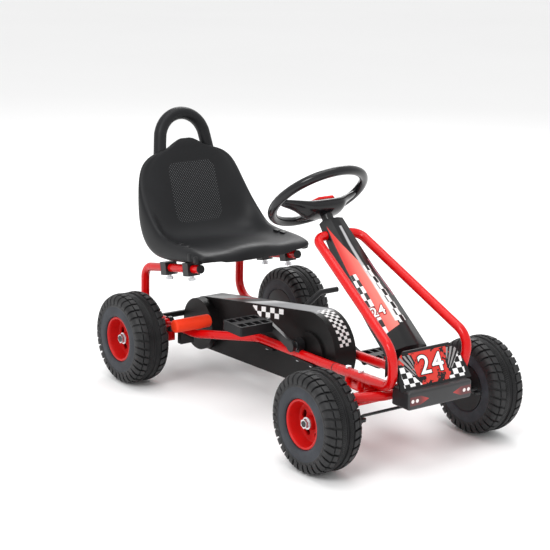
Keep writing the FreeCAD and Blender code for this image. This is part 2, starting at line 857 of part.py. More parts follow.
def cover_shell(drums):
    w = cover_wall
    parts = [belt(cover_nose_c, cover_front_r, cover_tail_c, cover_rear_r, 0.0, cover_half)]
    hollows = [belt(cover_nose_c, cover_front_r - w, cover_tail_c, cover_rear_r - w, -1.0, cover_half - w)]
    if drums:
        drum = (cover_tail_c, cover_rear_r - 1, cover_drum_out)
        boss = (cover_boss_c, cover_boss_r, cover_boss_out)
        for centre, r, out in (drum, boss):
            parts.append(cyl(r, centre + X, centre + X * (cover_half + out)))
            hollows.append(cyl(r - w, centre, centre + X * (cover_half + out - w)))
    out = fuse(parts)
    for hollow in hollows:
        out = out.cut(hollow)
    out = fuse([out] + [cover_ear(crank_c.y + a, crank_c.y + b) for a, b in cover_ears])
    out = out.cut(cyl(crank_axle_r + 2 * clear, crank_c, crank_c + X * 90))
    out = out.cut(cyl(rear_axle_r + 2 * clear, rear_c, rear_c + X * 90))
    for at in cover_screws_at:
        p = V(rail_half, crank_c.y + at, cover_ear_low(crank_c.y + at))
        out = out.cut(cyl(cover_screw_r + clear, p - Z * 10, p + Z * 6))
    return out


def cover_screws():
    out = []
    for at in cover_screws_at:
        y = crank_c.y + at
        low = V(rail_half, y, cover_ear_low(y))
        top = V(rail_half, y, rail_z(y) - tube_r - clear)
        out.append(hex_prism(4.5, 3.5, low - Z * 3.5, Z).fuse(cyl(cover_screw_r, low - Z, top)))
    return group(out + [mirror(s) for s in out])


def crank_end(side):
    a = math.radians(crank_angle)
    return crank_c + V(0, math.cos(a), math.sin(a)) * (-side * crank_len)


def crank():
    parts = [cyl(crank_axle_r, crank_c - X * crank_arm_out, crank_c + X * crank_arm_out)]
    for side in (-1, 1):
        e = crank_end(side)
        low = X * (crank_arm_in if side > 0 else -crank_arm_out)
        n = (e - crank_c).cross(X).normalize()
        web = [crank_c + n * 9, crank_c - n * 9, e - n * 7, e + n * 7]
        parts.append(face_of([p + low for p in web]).extrude(X * crank_arm_t))
        parts.append(cyl(crank_arm_r + 3, crank_c + low, crank_c + low + X * crank_arm_t))
        parts.append(cyl(crank_arm_r, e + low, e + low + X * crank_arm_t))
        parts.append(cyl(pedal_pin_r, e + X * side * (crank_arm_in + 1), e + X * side * (pedal_out - 6)))
    return fuse(parts)


def pedal(side):
    e = crank_end(side)
    lo = min(side * pedal_in, side * pedal_out)
    hi = max(side * pedal_in, side * pedal_out)
    y0 = e.y - pedal_half_len
    y1 = e.y + pedal_half_len
    z0 = e.z - pedal_half_thick
    z1 = e.z + pedal_half_thick
    out = box((lo, y0, z0), (hi, y1, z1))
    corners = [d for d in out.Edges if d.BoundBox.XLength < 0.01 and d.BoundBox.ZLength > pedal_half_thick]
    out = out.makeFillet(pedal_round, corners)
    step = (pedal_len - 2 * pedal_rib) / pedal_cells
    for i in range(pedal_cells):
        a = lo + pedal_rib + i * step + pedal_rib / 2
        b = a + step - pedal_rib
        out = out.cut(box((a, y0 + 5, z0 - 1), (b, e.y - pedal_pin_r - pedal_rib, z1 + 1)))
        out = out.cut(box((a, e.y + pedal_pin_r + pedal_rib, z0 - 1), (b, y1 - 5, z1 + 1)))
    return out.cut(cyl(pedal_pin_r + run_fit, e + X * side * (pedal_in - 2), e + X * side * (pedal_out - 6 + clear)))


def crank_bracket():
    dx, dy, down = crank_block
    c = crank_c + X * rail_half
    block = box((c.x - dx, c.y - dy, c.z - down), (c.x + dx, c.y + dy, c.z))
    block = block.fuse(cyl(dy, c - X * dx, c + X * dx)).cut(rail_solid())
    return largest(block.cut(cyl(crank_axle_r + bush_t, c - X * 20, c + X * 20)))


def rear_bracket():
    dx, dy, down = rear_block
    c = rear_c + X * rear_half
    block = box((c.x - dx, c.y - dy, c.z - down), (c.x + dx, c.y + dy, joint_z - 5)).cut(seat_tube_solid())
    return largest(block.cut(cyl(rear_axle_r + bearing_t, c - X * 20, c + X * 20)))


def bearings():
    c = crank_c + X * rail_half
    crank_bush = cyl(crank_axle_r + bush_t, c - X * crank_block[0], c + X * crank_block[0])
    crank_bush = crank_bush.cut(cyl(crank_axle_r + run_fit, c - X * 20, c + X * 20)).cut(rail_solid())
    e = rear_c + X * rear_half
    race = cyl(rear_axle_r + bearing_t, e - X * rear_block[0], e + X * rear_block[0])
    race = race.cut(cyl(rear_axle_r + run_fit, e - X * 20, e + X * 20))
    return group([crank_bush, race, mirror(crank_bush), mirror(race)])


# ---------------------------------------------------------------- levers
def brake_bracket():
    c = brake_c
    plate = cyl(brake_plate_r, c - X * brake_plate_out, c + X * brake_plate_in)
    web = box((c.x - brake_plate_out, c.y - 8, joint_z - 13), (c.x + 3, c.y + 6, c.z))
    pin = cyl(brake_rod_r, c - X * 5, c - X * brake_pin_out)
    cap_in = brake_out + brake_eye_half + clear
    cap = cyl(brake_rod_r + brake_pin_cap, c - X * cap_in, c - X * (brake_pin_out + 0.5))
    out = fuse([plate, web, pin, cap])
    side = largest(out.cut(mirror(seat_tube_solid())).cut(mirror(rail_solid())))
    near, far = hanger_in
    front, back = hanger_ahead
    hang = box((near - rear_half, joint_y - back, axle_z - hanger_drop),
               (far - rear_half, joint_y - front, joint_z - 6))
    return group([side, largest(hang.cut(mirror(rail_solid())))])


def brake_rod():
    x = brake_c.x - brake_out
    end = brake_grip_far() - 6
    points = [V(x, brake_c.y, brake_c.z), V(x, brake_grip_y, brake_grip_z), V(end, brake_grip_y, brake_grip_z)]
    return sweep(points, [brake_bend], brake_rod_r)


def brake_grip_near():
    return brake_c.x - brake_out - brake_grip_past


def brake_grip_far():
    return brake_grip_near() + brake_grip_len


def brake_lever():
    c = brake_c - X * brake_out
    eye = cyl(brake_eye_r, c - X * brake_eye_half, c + X * brake_eye_half)
    return fuse([eye, brake_rod()]).cut(cyl(brake_rod_r + run_fit, c - X * 20, c + X * 20))


def brake_grip():
    out = cyl(brake_grip_r, V(brake_grip_near(), brake_grip_y, brake_grip_z),
              V(brake_grip_far(), brake_grip_y, brake_grip_z))
    rims = [e for e in out.Edges if e.Length > 50 and e.BoundBox.XLength < 0.1]
    return out.makeFillet(4.0, rims).cut(brake_rod())


def shift_bracket():
    c = shift_c - X * shift_plate_in
    low = (rail_half + 4, c.y - shift_plate_half, c.z - shift_plate_half - 2)
    plate = box(low, (c.x + 4, c.y + shift_plate_half, c.z + shift_plate_half - 2))
    out = largest(plate.cut(rail_solid()))
    pin_end = shift_c + X * shift_pin_past
    return fuse([out, cyl(shift_pin_r, c, pin_end), cyl(shift_pin_r + 2, pin_end - X * 2, pin_end + X * 0.5)])


def shift_lever():
    c = shift_c
    eye = cyl(shift_eye_r, c - X * shift_eye_half, c + X * shift_eye_half)
    top = axle_z + shift_grip_rise
    knee = V(c.x + shift_reach, c.y, top)
    points = [c + Z * 2, c + Z * shift_upright, knee, knee + X * shift_grip_len]
    out = fuse([eye, sweep(points, shift_bends, shift_rod_r)])
    return largest(out.cut(cyl(shift_pin_r + run_fit, c - X * 15, c + X * 15)))


# ---------------------------------------------------------------- seat
def seat_half():
    return rear_half + seat_past_tube


def seat_ring(along, up, normal, half, lift, thick):
    n = V(0, *normal).normalize()
    bolster = min(seat_bolster, half * seat_bolster_share)
    inner = half - bolster
    crest = half - bolster / 2
    right = [(inner * 0.72, 0), (inner, lift * 0.45), (crest, lift), (half, lift), (half, -thick * 0.35),
             (half * 0.9, -thick)]
    outline = right + [(-x, h) for x, h in reversed(right)]
    ring = [seat_c + V(x, along, up) + n * h for x, h in outline]
    return Part.makePolygon(ring + [ring[0]])


def seat_rings():
    out = []
    for along, up, ny, nz, narrower, lift, thick in seat_rows:
        out.append(seat_ring(along, up, (ny, nz), seat_half() - narrower, lift, thick))
    for along, up, ny, nz, half, lift, thick in neck_rows:
        out.append(seat_ring(along, up, (ny, nz), half, lift, thick))
    return out


def seat_handle():
    lean = math.radians(handle_lean)
    foot = seat_c + V(0, handle_foot_along, handle_foot_rise)
    reach = handle_foot_half / math.tan(math.radians(handle_splay))
    apex = foot + V(0, math.sin(lean), math.cos(lean)) * reach
    return sweep([foot + X * handle_foot_half, apex, foot - X * handle_foot_half], [handle_arc_r], handle_r)


def seat():
    body = Part.makeLoft(seat_rings(), True, True)
    d = seat_rail_dir()
    n = seat_rail_up()
    c = seat_rail_at(seat_c.y - 50) - X * rear_half + n * seat_pad_h
    pts = [c + X * 300 + d * 250, c - X * 300 + d * 250, c - X * 300 - d * 250, c + X * 300 - d * 250]
    return fuse([body, seat_handle()]).cut(face_of(pts).extrude(n * -120))


def seat_rail_at(y):
    a, b = seat_tube_points()[2:]
    return a + (b - a) * ((y - a.y) / (b.y - a.y))


def seat_rail_dir():
    a, b = seat_tube_points()[2:]
    return (b - a).normalize()


def seat_rail_up():
    n = seat_rail_dir().cross(X)
    return n if n.z > 0 else n * -1


def seat_clamps():
    d = seat_rail_dir()
    n = seat_rail_up()
    out = []
    for ahead in clamp_aheads:
        c = seat_rail_at(rear_y - ahead)
        corners = [(-clamp_half, -clamp_half), (clamp_half, -clamp_half),
                   (clamp_half, seat_pad_h), (-clamp_half, seat_pad_h)]
        base = [c + X * side + n * h - d * (clamp_len / 2) for side, h in corners]
        block = face_of(base).extrude(d * clamp_len)
        out.append(block.cut(cyl(tube_r + clear, c - d * 30, c + d * 30)))
    return group(out + [mirror(b) for b in out])


def seat_knobs():
    n = seat_rail_up()
    out = []
    for ahead in clamp_aheads:
        c = seat_rail_at(rear_y - ahead) - n * clamp_half
        out.append(cyl(knob_r - 2, c, c - n * 5).fuse(hex_prism(knob_r, 6.0, c - n * 11, n)))
    return group(out + [mirror(k) for k in out])


def save_frame():
    save_pair("rail", rail())
    save_pair("seat_tube", pipe(seat_tube_points(), seat_tube_bends, tube_r, tube_wall))
    save_pair("hoop", hoop())
    save("head_tube", head_tube())
    save("hoop_brackets", both(hoop_bracket()))
    save("hoop_bolts", hoop_bolts())
    save("tube_plugs", tube_plugs())
    save("front_beam", front_beam())
    save("axle_plate", axle_plate())
    save("rail_feet", both(rail_foot()))
    save("column_bushings", column_bushings())
    save("rear_crossmember", rear_crossmember())
    save("rear_brackets", both(rear_bracket()))
    save("crank_brackets", both(crank_bracket()))
    save("bearings", bearings())
    save("brake_bracket", brake_bracket())
    save("shift_bracket", shift_bracket())


def save_covers():
    save("bumper", bumper())
    save("fairing", fairing())
    save("shroud", shroud())
    save("cover_left", cover_shell(False))
    save("cover_right", mirror(cover_shell(True)))
    save("cover_screws", cover_screws())
    save("chain", chain())


def save_moving():
    save("steering_column", steering_column())
    save("steering_wheel", steering_wheel())
    save("steering_cap", steering_cap())
    save_pair("knuckle", knuckle())
    save_pair("knuckle_nuts", knuckle_nuts())
    save_pair("tie_rod", tie_rod())
    for end, bore in (("front", spindle_r + run_fit), ("rear", rear_axle_r)):
        save_pair(end + "_tyre", tyre(wheel_centre(end, 1), 1))
        save_pair(end + "_hub", hub(wheel_centre(end, 1), 1, bore))
    save("rear_axle", rear_axle())
    save("rear_nuts", rear_nuts())
    save("sprocket", toothed(sprocket_r, sprocket_teeth, rear_c, rear_axle_r))
    save("crank", crank())
    save("chainring", chainring())
    save("pedal_left", pedal(1))
    save("pedal_right", pedal(-1))
    save("brake_lever", brake_lever())
    save("brake_grip", brake_grip())
    save("shift_lever", shift_lever())
    save("seat", seat())
    save("seat_clamps", seat_clamps())
    save("seat_knobs", seat_knobs())


os.makedirs("parts", exist_ok=True)
save_frame()
save_covers()
save_moving()
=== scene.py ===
"""Looks of a child's pedal go kart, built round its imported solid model."""

import json
import logging
import math
from dataclasses import dataclass
from enum import Enum
from typing import Dict, List, Optional, Sequence, Tuple

import bmesh
import bpy
from mathutils import Matrix, Vector


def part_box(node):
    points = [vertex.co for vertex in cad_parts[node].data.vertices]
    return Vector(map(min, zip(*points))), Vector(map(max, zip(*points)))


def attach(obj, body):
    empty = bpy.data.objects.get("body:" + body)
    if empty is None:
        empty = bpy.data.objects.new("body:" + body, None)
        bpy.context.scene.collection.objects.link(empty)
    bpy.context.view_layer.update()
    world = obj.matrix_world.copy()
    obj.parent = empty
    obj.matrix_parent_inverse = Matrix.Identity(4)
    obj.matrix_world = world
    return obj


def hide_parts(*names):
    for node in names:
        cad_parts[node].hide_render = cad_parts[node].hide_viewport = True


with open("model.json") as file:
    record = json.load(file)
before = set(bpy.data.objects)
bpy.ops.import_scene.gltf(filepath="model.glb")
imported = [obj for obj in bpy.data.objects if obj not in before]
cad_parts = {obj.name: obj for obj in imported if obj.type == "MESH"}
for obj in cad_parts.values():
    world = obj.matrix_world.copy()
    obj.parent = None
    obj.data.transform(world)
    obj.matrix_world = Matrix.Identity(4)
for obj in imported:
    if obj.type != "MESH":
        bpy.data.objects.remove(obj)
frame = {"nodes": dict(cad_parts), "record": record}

LOG = logging.getLogger("kart")
RGB = Tuple[float, float, float]
MM = 0.001


class Side(Enum):
    """Which side of the kart a piece sits on."""

    LEFT = 1
    RIGHT = -1

    @property
    def word(self) -> str:
        """The side's name as the nodes spell it."""
        return self.name.lower()


# ------------------------------------------------------------------ shaders
class Signal:
    """A shader value that Python arithmetic can be written on."""

    def __init__(self, bench: "Bench", socket: bpy.types.NodeSocket) -> None:
        """Wraps one output socket.

        Args:
            bench: The bench whose tree the socket is in.
            socket: The output socket.
        """
        self.bench = bench
        self.socket = socket

    def _do(self, operation: str, *others: object) -> "Signal":
        """Adds one Math node and returns its output."""
        return self.bench.math(operation, self, *others)

    def __add__(self, other: object) -> "Signal":
        """self + other"""
        return self._do("ADD", other)

    __radd__ = __add__

    def __sub__(self, other: object) -> "Signal":
        """self - other"""
        return self._do("SUBTRACT", other)

    def __rsub__(self, other: object) -> "Signal":
        """other - self"""
        return self.bench.math("SUBTRACT", other, self)

    def __mul__(self, other: object) -> "Signal":
        """self * other"""
        return self._do("MULTIPLY", other)

    __rmul__ = __mul__

    def __truediv__(self, other: object) -> "Signal":
        """self / other"""
        return self._do("DIVIDE", other)

    def __abs__(self) -> "Signal":
        """The value without its sign."""
        return self._do("ABSOLUTE")

    def above(self, limit: object) -> "Signal":
        """1 where the value is over limit, else 0."""
        return self._do("GREATER_THAN", limit)

    def below(self, limit: object) -> "Signal":
        """1 where the value is under limit, else 0."""
        return self._do("LESS_THAN", limit)

    def at_most(self, limit: object) -> "Signal":
        """The smaller of the value and limit."""
        return self._do("MINIMUM", limit)

    def at_least(self, limit: object) -> "Signal":
        """The larger of the value and limit."""
        return self._do("MAXIMUM", limit)

    def floor(self) -> "Signal":
        """The value rounded down."""
        return self._do("FLOOR")

    def fract(self) -> "Signal":
        """The value's part after the point."""
        return self._do("FRACT")

    def sine(self) -> "Signal":
        """The sine of the value."""
        return self._do("SINE")

    def root(self) -> "Signal":
        """The square root of the value."""
        return self._do("SQRT")

    def between(self, low: object, high: object) -> "Signal":
        """1 where the value lies between low and high, else 0."""
        return self.above(low) * self.below(high)

    def odd(self) -> "Signal":
        """1 in every second step of one, else 0."""
        return (self * 0.5).fract().above(0.25)

    def flip(self) -> "Signal":
        """1 where a mask is 0, and 0 where it is 1."""
        return 1.0 - self

    def either(self, other: "Signal") -> "Signal":
        """1 where just one of two masks is 1."""
        return abs(self - other)

    def angle_to(self, other: object) -> "Signal":
        """The angle of the point (other, self)."""
        return self._do("ARCTAN2", other)

    def ramp(self, low: float, high: float) -> "Signal":
        """0 under low, 1 over high, smooth between.

        Args:
            low: Where the ramp starts.
            high: Where it ends.

        Returns:
            The ramped value.
        """
        got = self.bench.node("ShaderNodeMapRange", {"interpolation_type": "SMOOTHSTEP"},
                              {"Value": self, "From Min": low, "From Max": high})
        return got["Result"]


class Outputs:
    """The outputs of one shader node, picked by name."""

    def __init__(self, bench: "Bench", made: bpy.types.Node) -> None:
        """Keeps the node.

        Args:
            bench: The bench that the node belongs to.
            made: The node.
        """
        self.bench = bench
        self.made = made

    def __getitem__(self, name: object) -> Signal:
        """The output with that name or place."""
        return Signal(self.bench, self.made.outputs[name])


class Bench:
    """Where one material is made."""

    def __init__(self, name: str) -> None:
        """Starts an empty material.

        Args:
            name: The material's name.
        """
        self.material = bpy.data.materials.new(name)
        self.material.use_nodes = True
        self.tree = self.material.node_tree
        self.tree.nodes.clear()

    def node(self, kind: str, settings: Optional[Dict[str, object]] = None,
             sockets: Optional[Dict[object, object]] = None) -> Outputs:
        """Adds one node of any type.

        Args:
            kind: The node's type name.
            settings: Properties to set first.
            sockets: Input values or links, by socket name or place.

        Returns:
            The node's outputs.
        """
        made = self.tree.nodes.new(kind)
        for key, value in (settings or {}).items():
            setattr(made, key, value)
        for key, value in (sockets or {}).items():
            target = made.inputs[key]
            if isinstance(value, Signal):
                self.tree.links.new(value.socket, target)
            else:
                target.default_value = value
        return Outputs(self, made)

    def math(self, operation: str, *values: object) -> Signal:
        """Adds a Math node.

        Args:
            operation: The node's operation.
            *values: Numbers or signals.

        Returns:
            The result.
        """
        return self.node("ShaderNodeMath", {"operation": operation}, dict(enumerate(values)))["Value"]

    def place(self) -> Tuple[Signal, Signal, Signal]:
        """The object coordinates in metres, one signal each."""
        where = self.node("ShaderNodeTexCoord")["Object"]
        split = self.node("ShaderNodeSeparateXYZ", None, {0: where})
        return split["X"], split["Y"], split["Z"]

    def along(self, origin: Vector, direction: Vector) -> Signal:
        """Distance from origin along a direction, in metres.

        Args:
            origin: Where the distance is 0.
            direction: A unit vector.

        Returns:
            The distance.
        """
        got = self.node("ShaderNodeVectorMath", {"operation": "DOT_PRODUCT"},
                        {0: self.point(), 1: tuple(direction)})
        return got["Value"] - origin.dot(direction)

    def point(self) -> Signal:
        """The object coordinates as one vector."""
        return self.node("ShaderNodeTexCoord")["Object"]

    def noise(self, scale: float, detail: float = 3.0, rough: float = 0.55) -> Signal:
        """Noise from 0 to 1 in object space.

        Args:
            scale: Spots to a metre.
            detail: Octaves.
            rough: How strong the small octaves are.

        Returns:
            The noise value.
        """
        made = self.node("ShaderNodeTexNoise", None,
                         {"Vector": self.point(), "Scale": scale, "Detail": detail, "Roughness": rough})
        return made["Fac"]

    def cells(self, scale: float) -> Signal:
        """Distance to the nearest cell centre.

        Args:
            scale: Cells to a metre.

        Returns:
            The distance.
        """
        made = self.node("ShaderNodeTexVoronoi", None, {"Vector": self.point(), "Scale": scale})
        return made["Distance"]

    def mix(self, share: object, one: object, other: object) -> Signal:
        """Blends two colours.

        Args:
            share: 0 gives one, 1 gives other.
            one: First colour.
            other: Second colour.

        Returns:
            The blended colour.
        """
        made = self.tree.nodes.new("ShaderNodeMix")
        made.data_type = "RGBA"
        for place, value in ((0, share), (6, one), (7, other)):
            if isinstance(value, Signal):
                self.tree.links.new(value.socket, made.inputs[place])
            elif place == 0:
                made.inputs[0].default_value = value
            else:
                made.inputs[place].default_value = tuple(value)[:3] + (1.0,)
        return Signal(self, made.outputs[2])

    def clouded(self, scale: float, one: RGB, other: RGB) -> Signal:
        """Two close tones in soft clouds.

        Args:
            scale: Clouds to a metre.
            one: First tone.
            other: Second tone.

        Returns:
            The colour.
        """
        return self.mix(self.noise(scale, 4.0).ramp(0.35, 0.75), one, other)

    def scuffed(self, scale: float, one: RGB, other: RGB) -> Signal:
        """Clouded black plastic with fine pale scuffs.

        Args:
            scale: Clouds to a metre.
            one: First tone.
            other: Second tone.

        Returns:
            The colour.
        """
        scuff = self.noise(150.0, 6.0, 0.7).ramp(0.62, 0.78)
        return self.mix(scuff * 0.05, self.clouded(scale, one, other), (0.12, 0.12, 0.12))

    def bump(self, height: Signal, depth: float, strength: float = 1.0) -> Signal:
        """Turns a height in 0..1 into a normal.

        Args:
            height: The height.
            depth: Metres from 0 to 1.
            strength: How much of it to use.

        Returns:
            The normal.
        """
        made = self.node("ShaderNodeBump", None,
                         {"Height": height, "Distance": depth, "Strength": strength})
        return made["Normal"]

    def finish(self, fixed: Dict[str, object], **varying: Signal) -> bpy.types.Material:
        """Adds the shader and output.

        Args:
            fixed: Constant values by socket name.
            **varying: Links; the name has _ for a space.

        Returns:
            The material.
        """
        made = self.tree.nodes.new("ShaderNodeBsdfPrincipled")
        for key, value in fixed.items():
            made.inputs[key].default_value = value
        for key, value in varying.items():
            self.tree.links.new(value.socket, made.inputs[key.replace("_", " ")])
        out = self.tree.nodes.new("ShaderNodeOutputMaterial")
        self.tree.links.new(made.outputs[0], out.inputs[0])
        return self.material


@dataclass(frozen=True)
class PowderCoat:
    """Glossy paint on bent steel tube."""

    name: str
    colour: RGB
    roughness: float = 0.22
    coat: float = 0.3
    peel: float = 0.00006

    def make(self) -> bpy.types.Material:
        """Builds the material."""
        bench = Bench(self.name)
        cloud = bench.noise(9.0, 4.0)
        dark = tuple(c * 0.9 for c in self.colour)
        dust = bench.noise(420.0, 2.0).ramp(0.66, 0.8)
        colour = bench.mix(cloud.ramp(0.3, 0.75), dark, self.colour)
        colour = bench.mix(dust * 0.03, colour, (0.5, 0.45, 0.42))
        rough = self.roughness + bench.noise(35.0, 5.0) * 0.12 + dust * 0.1
        normal = bench.bump(bench.noise(520.0, 1.0), self.peel)
        return bench.finish({"Coat Weight": self.coat, "Coat Roughness": 0.08, "Specular IOR Level": 0.2},
                            Base_Color=colour, Roughness=rough, Normal=normal)


@dataclass(frozen=True)
class Moulding:
    """Moulded plastic with a fine grain."""

    name: str
    colour: RGB
    roughness: float = 0.42
    grain: float = 900.0
    depth: float = 0.00008
    coat: float = 0.0
    scuff: RGB = (0.16, 0.16, 0.165)

    def make(self) -> bpy.types.Material:
        """Builds the material."""
        bench = Bench(self.name)
        flow = bench.noise(7.0, 4.0)
        pale = tuple(min(1.0, c * 1.35 + 0.004) for c in self.colour)
        colour = bench.mix(flow.ramp(0.35, 0.75), self.colour, pale)
        marks = bench.noise(160.0, 6.0, 0.7).ramp(0.62, 0.78)
        colour = bench.mix(marks * 0.05, colour, self.scuff)
        rough = self.roughness + bench.noise(22.0, 5.0) * 0.16 - 0.06 + marks * 0.08
        normal = bench.bump(bench.cells(self.grain), self.depth)
        return bench.finish({"Coat Weight": self.coat, "Coat Roughness": 0.12, "Specular IOR Level": 0.2},
                            Base_Color=colour, Roughness=rough, Normal=normal)


@dataclass(frozen=True)
class Zinc:
    """Bright plated steel."""

    name: str
    colour: RGB = (0.72, 0.73, 0.75)
    roughness: float = 0.24

    def make(self) -> bpy.types.Material:
        """Builds the material."""
        bench = Bench(self.name)
        spangle = bench.cells(700.0)
        dull = tuple(c * 0.7 for c in self.colour)
        colour = bench.mix(spangle.ramp(0.1, 0.7) * 0.5, self.colour, dull)
        rough = self.roughness + bench.noise(260.0, 4.0) * 0.22
        normal = bench.bump(bench.noise(1500.0, 2.0), 0.00004)
        return bench.finish({"Metallic": 1.0}, Base_Color=colour, Roughness=rough, Normal=normal)


@dataclass(frozen=True)
class TyreSkin:
    """Tyre compound, with flow lines and a little dust."""

    name: str
    colour: RGB
    roughness: float
    dusty: float

    def make(self) -> bpy.types.Material:
        """Builds the material."""
        bench = Bench(self.name)
        cloud = bench.noise(30.0, 5.0, 0.6)
        pale = tuple(c * 1.5 + 0.006 for c in self.colour)
        colour = bench.mix(cloud.ramp(0.35, 0.7), self.colour, pale)
        dust = bench.noise(240.0, 6.0, 0.7).ramp(0.55, 0.75)
        colour = bench.mix(dust * self.dusty, colour, (0.17, 0.17, 0.175))
        rough = self.roughness + cloud * 0.15 + dust * 0.06
        normal = bench.bump(bench.noise(900.0, 3.0, 0.6), 0.00012)
        return bench.finish({"Specular IOR Level": 0.35}, Base_Color=colour, Roughness=rough, Normal=normal)


@dataclass(frozen=True)
class DottedSeat:
    """The seat's moulding, with a panel of fine pips on the backrest."""

    name: str = "dotted_seat_moulding"
    colour: RGB = (0.0085, 0.0088, 0.0098)
    half: float = 0.063
    low: float = 0.324
    high: float = 0.457
    corner: float = 0.022
    pitch: float = 0.0062

    def make(self) -> bpy.types.Material:
        """Builds the material."""
        bench = Bench(self.name)
        x, y, z = bench.place()
        middle = 0.5 * (self.low + self.high)
        out_x = (abs(x) - (self.half - self.corner)).at_least(0.0)
        out_z = (abs(z - middle) - (0.5 * (self.high - self.low) - self.corner)).at_least(0.0)
        far = (out_x * out_x + out_z * out_z).root()
        inside = 1.0 - far.ramp(self.corner - 0.002, self.corner)
        inside = inside * y.above(0.375)
        turn = 2 * math.pi / self.pitch
        wave = (x * turn).sine() * (z * turn * 0.94).sine()
        pips = wave.ramp(0.35, 0.75) * inside
        flow = bench.noise(6.0, 4.0)
        pale = tuple(c * 1.5 for c in self.colour)
        colour = bench.mix(flow.ramp(0.35, 0.75), self.colour, pale)
        colour = bench.mix(inside * 0.7, colour, (0.005, 0.005, 0.0055))
        colour = bench.mix(pips, colour, (0.10, 0.105, 0.11))
        marks = bench.noise(150.0, 6.0, 0.7).ramp(0.62, 0.78)
        colour = bench.mix(marks * 0.07, colour, (0.14, 0.14, 0.15))
        rough = 0.36 + bench.noise(22.0, 5.0) * 0.14 + marks * 0.08 + inside * 0.1
        height = pips * 0.7 + bench.cells(1000.0) * 0.12
        return bench.finish({"Specular IOR Level": 0.2}, Base_Color=colour, Roughness=rough,
                            Normal=bench.bump(height, 0.0005, 0.8))


@dataclass(frozen=True)
class CoverPrint:
    """The chain cover: black moulding, pale metallic top, checkered nose and side strip.

    The outline is a large arc at the nose and a small one at the tail, joined by straight runs.
    """

    name: str
    low: Vector
    high: Vector
    nose_r: float = 0.082
    tail_r: float = 0.060
    side: float = 0.027
    square: float = 0.0075
    band_from: float = -0.0125
    band_turn: float = 1.27
    band_edge: float = 0.004
    columns: float = 4.0
    strip_long: float = 0.016
    strip_tall: float = 0.0115
    strip_from: float = 0.030

    def top_line(self) -> Tuple[float, float]:
        """Slope and height at y of 0 of the run along the top."""
        nose = Vector((self.low.y + self.nose_r, self.high.z - self.nose_r))
        tail = Vector((self.high.y - self.tail_r, self.low.z + self.tail_r))
        between = tail - nose
        turn = math.atan2(between.y, between.x) + math.acos((self.nose_r - self.tail_r) / between.length)
        start = nose + Vector((math.cos(turn), math.sin(turn))) * self.nose_r
        slope = -1.0 / math.tan(turn)
        return slope, start.y - slope * start.x

    def make(self) -> bpy.types.Material:
        """Builds the material."""
        bench = Bench(self.name)
        x, y, z = bench.place()
        slope, height = self.top_line()
        under = height + y * slope - z
        ahead = self.low.y + self.nose_r - y
        up = z - (self.high.z - self.nose_r)
        far = (ahead * ahead + up * up).root()
        skin = far.above(self.nose_r - 0.0012) * ahead.above(-0.012)
        around = ahead.angle_to(up) * self.nose_r
        column = (x - self.band_from) / self.square
        band = skin * up.above(self.band_edge) * column.between(0.0, self.columns)
        band = band * around.between(-self.band_edge, self.band_turn * self.nose_r)
        checks = column.floor().odd().either((around / self.square).floor().odd()) * band
        roof = (under.below(0.0022) * ahead.below(0.0) + skin * around.between(-0.02, 0.010)).at_most(1.0)
        roof = roof * abs(x).below(self.side - 0.0035)
        slant = y + x * 1.1
        pale = bench.mix(slant.ramp(0.07, 0.15), (0.26, 0.265, 0.275), (0.66, 0.665, 0.675))
        pale = bench.mix(slant.above(0.155), pale, (0.014, 0.014, 0.015))
        pale = bench.mix(slant.between(0.214, 0.238), pale, (0.40, 0.012, 0.012))
        pale = bench.mix(slant.above(0.242), pale, (0.66, 0.665, 0.675))
        pale = bench.mix(slant.ramp(0.27, 0.35), pale, (0.05, 0.05, 0.055))
        brush = bench.noise(240.0, 5.0, 0.65).ramp(0.4, 0.7)
        pale = bench.mix(brush * 0.2, pale, (0.16, 0.16, 0.17))
        along = (y - self.strip_from) / self.strip_long
        down = (under - 0.0036) / self.strip_tall
        strip = abs(x).above(self.side - 0.0008) * along.between(0.0, 7.0) * down.between(0.0, 2.0)
        strip = strip * (along + down * 0.9).below(7.2)
        strip = strip * along.floor().odd().either(down.floor().odd().flip())
        black = bench.scuffed(7.0, (0.0060, 0.0055, 0.0056), (0.0095, 0.0088, 0.0090))
        colour = bench.mix(roof, black, pale)
        colour = bench.mix(checks.at_least(strip), colour, (0.86, 0.86, 0.86))
        rough = 0.36 + bench.noise(22.0, 5.0) * 0.14 - roof * 0.06
        normal = bench.bump(bench.cells(900.0), 0.00005)
        return bench.finish({"Specular IOR Level": 0.2}, Base_Color=colour, Roughness=rough,
                            Normal=normal)


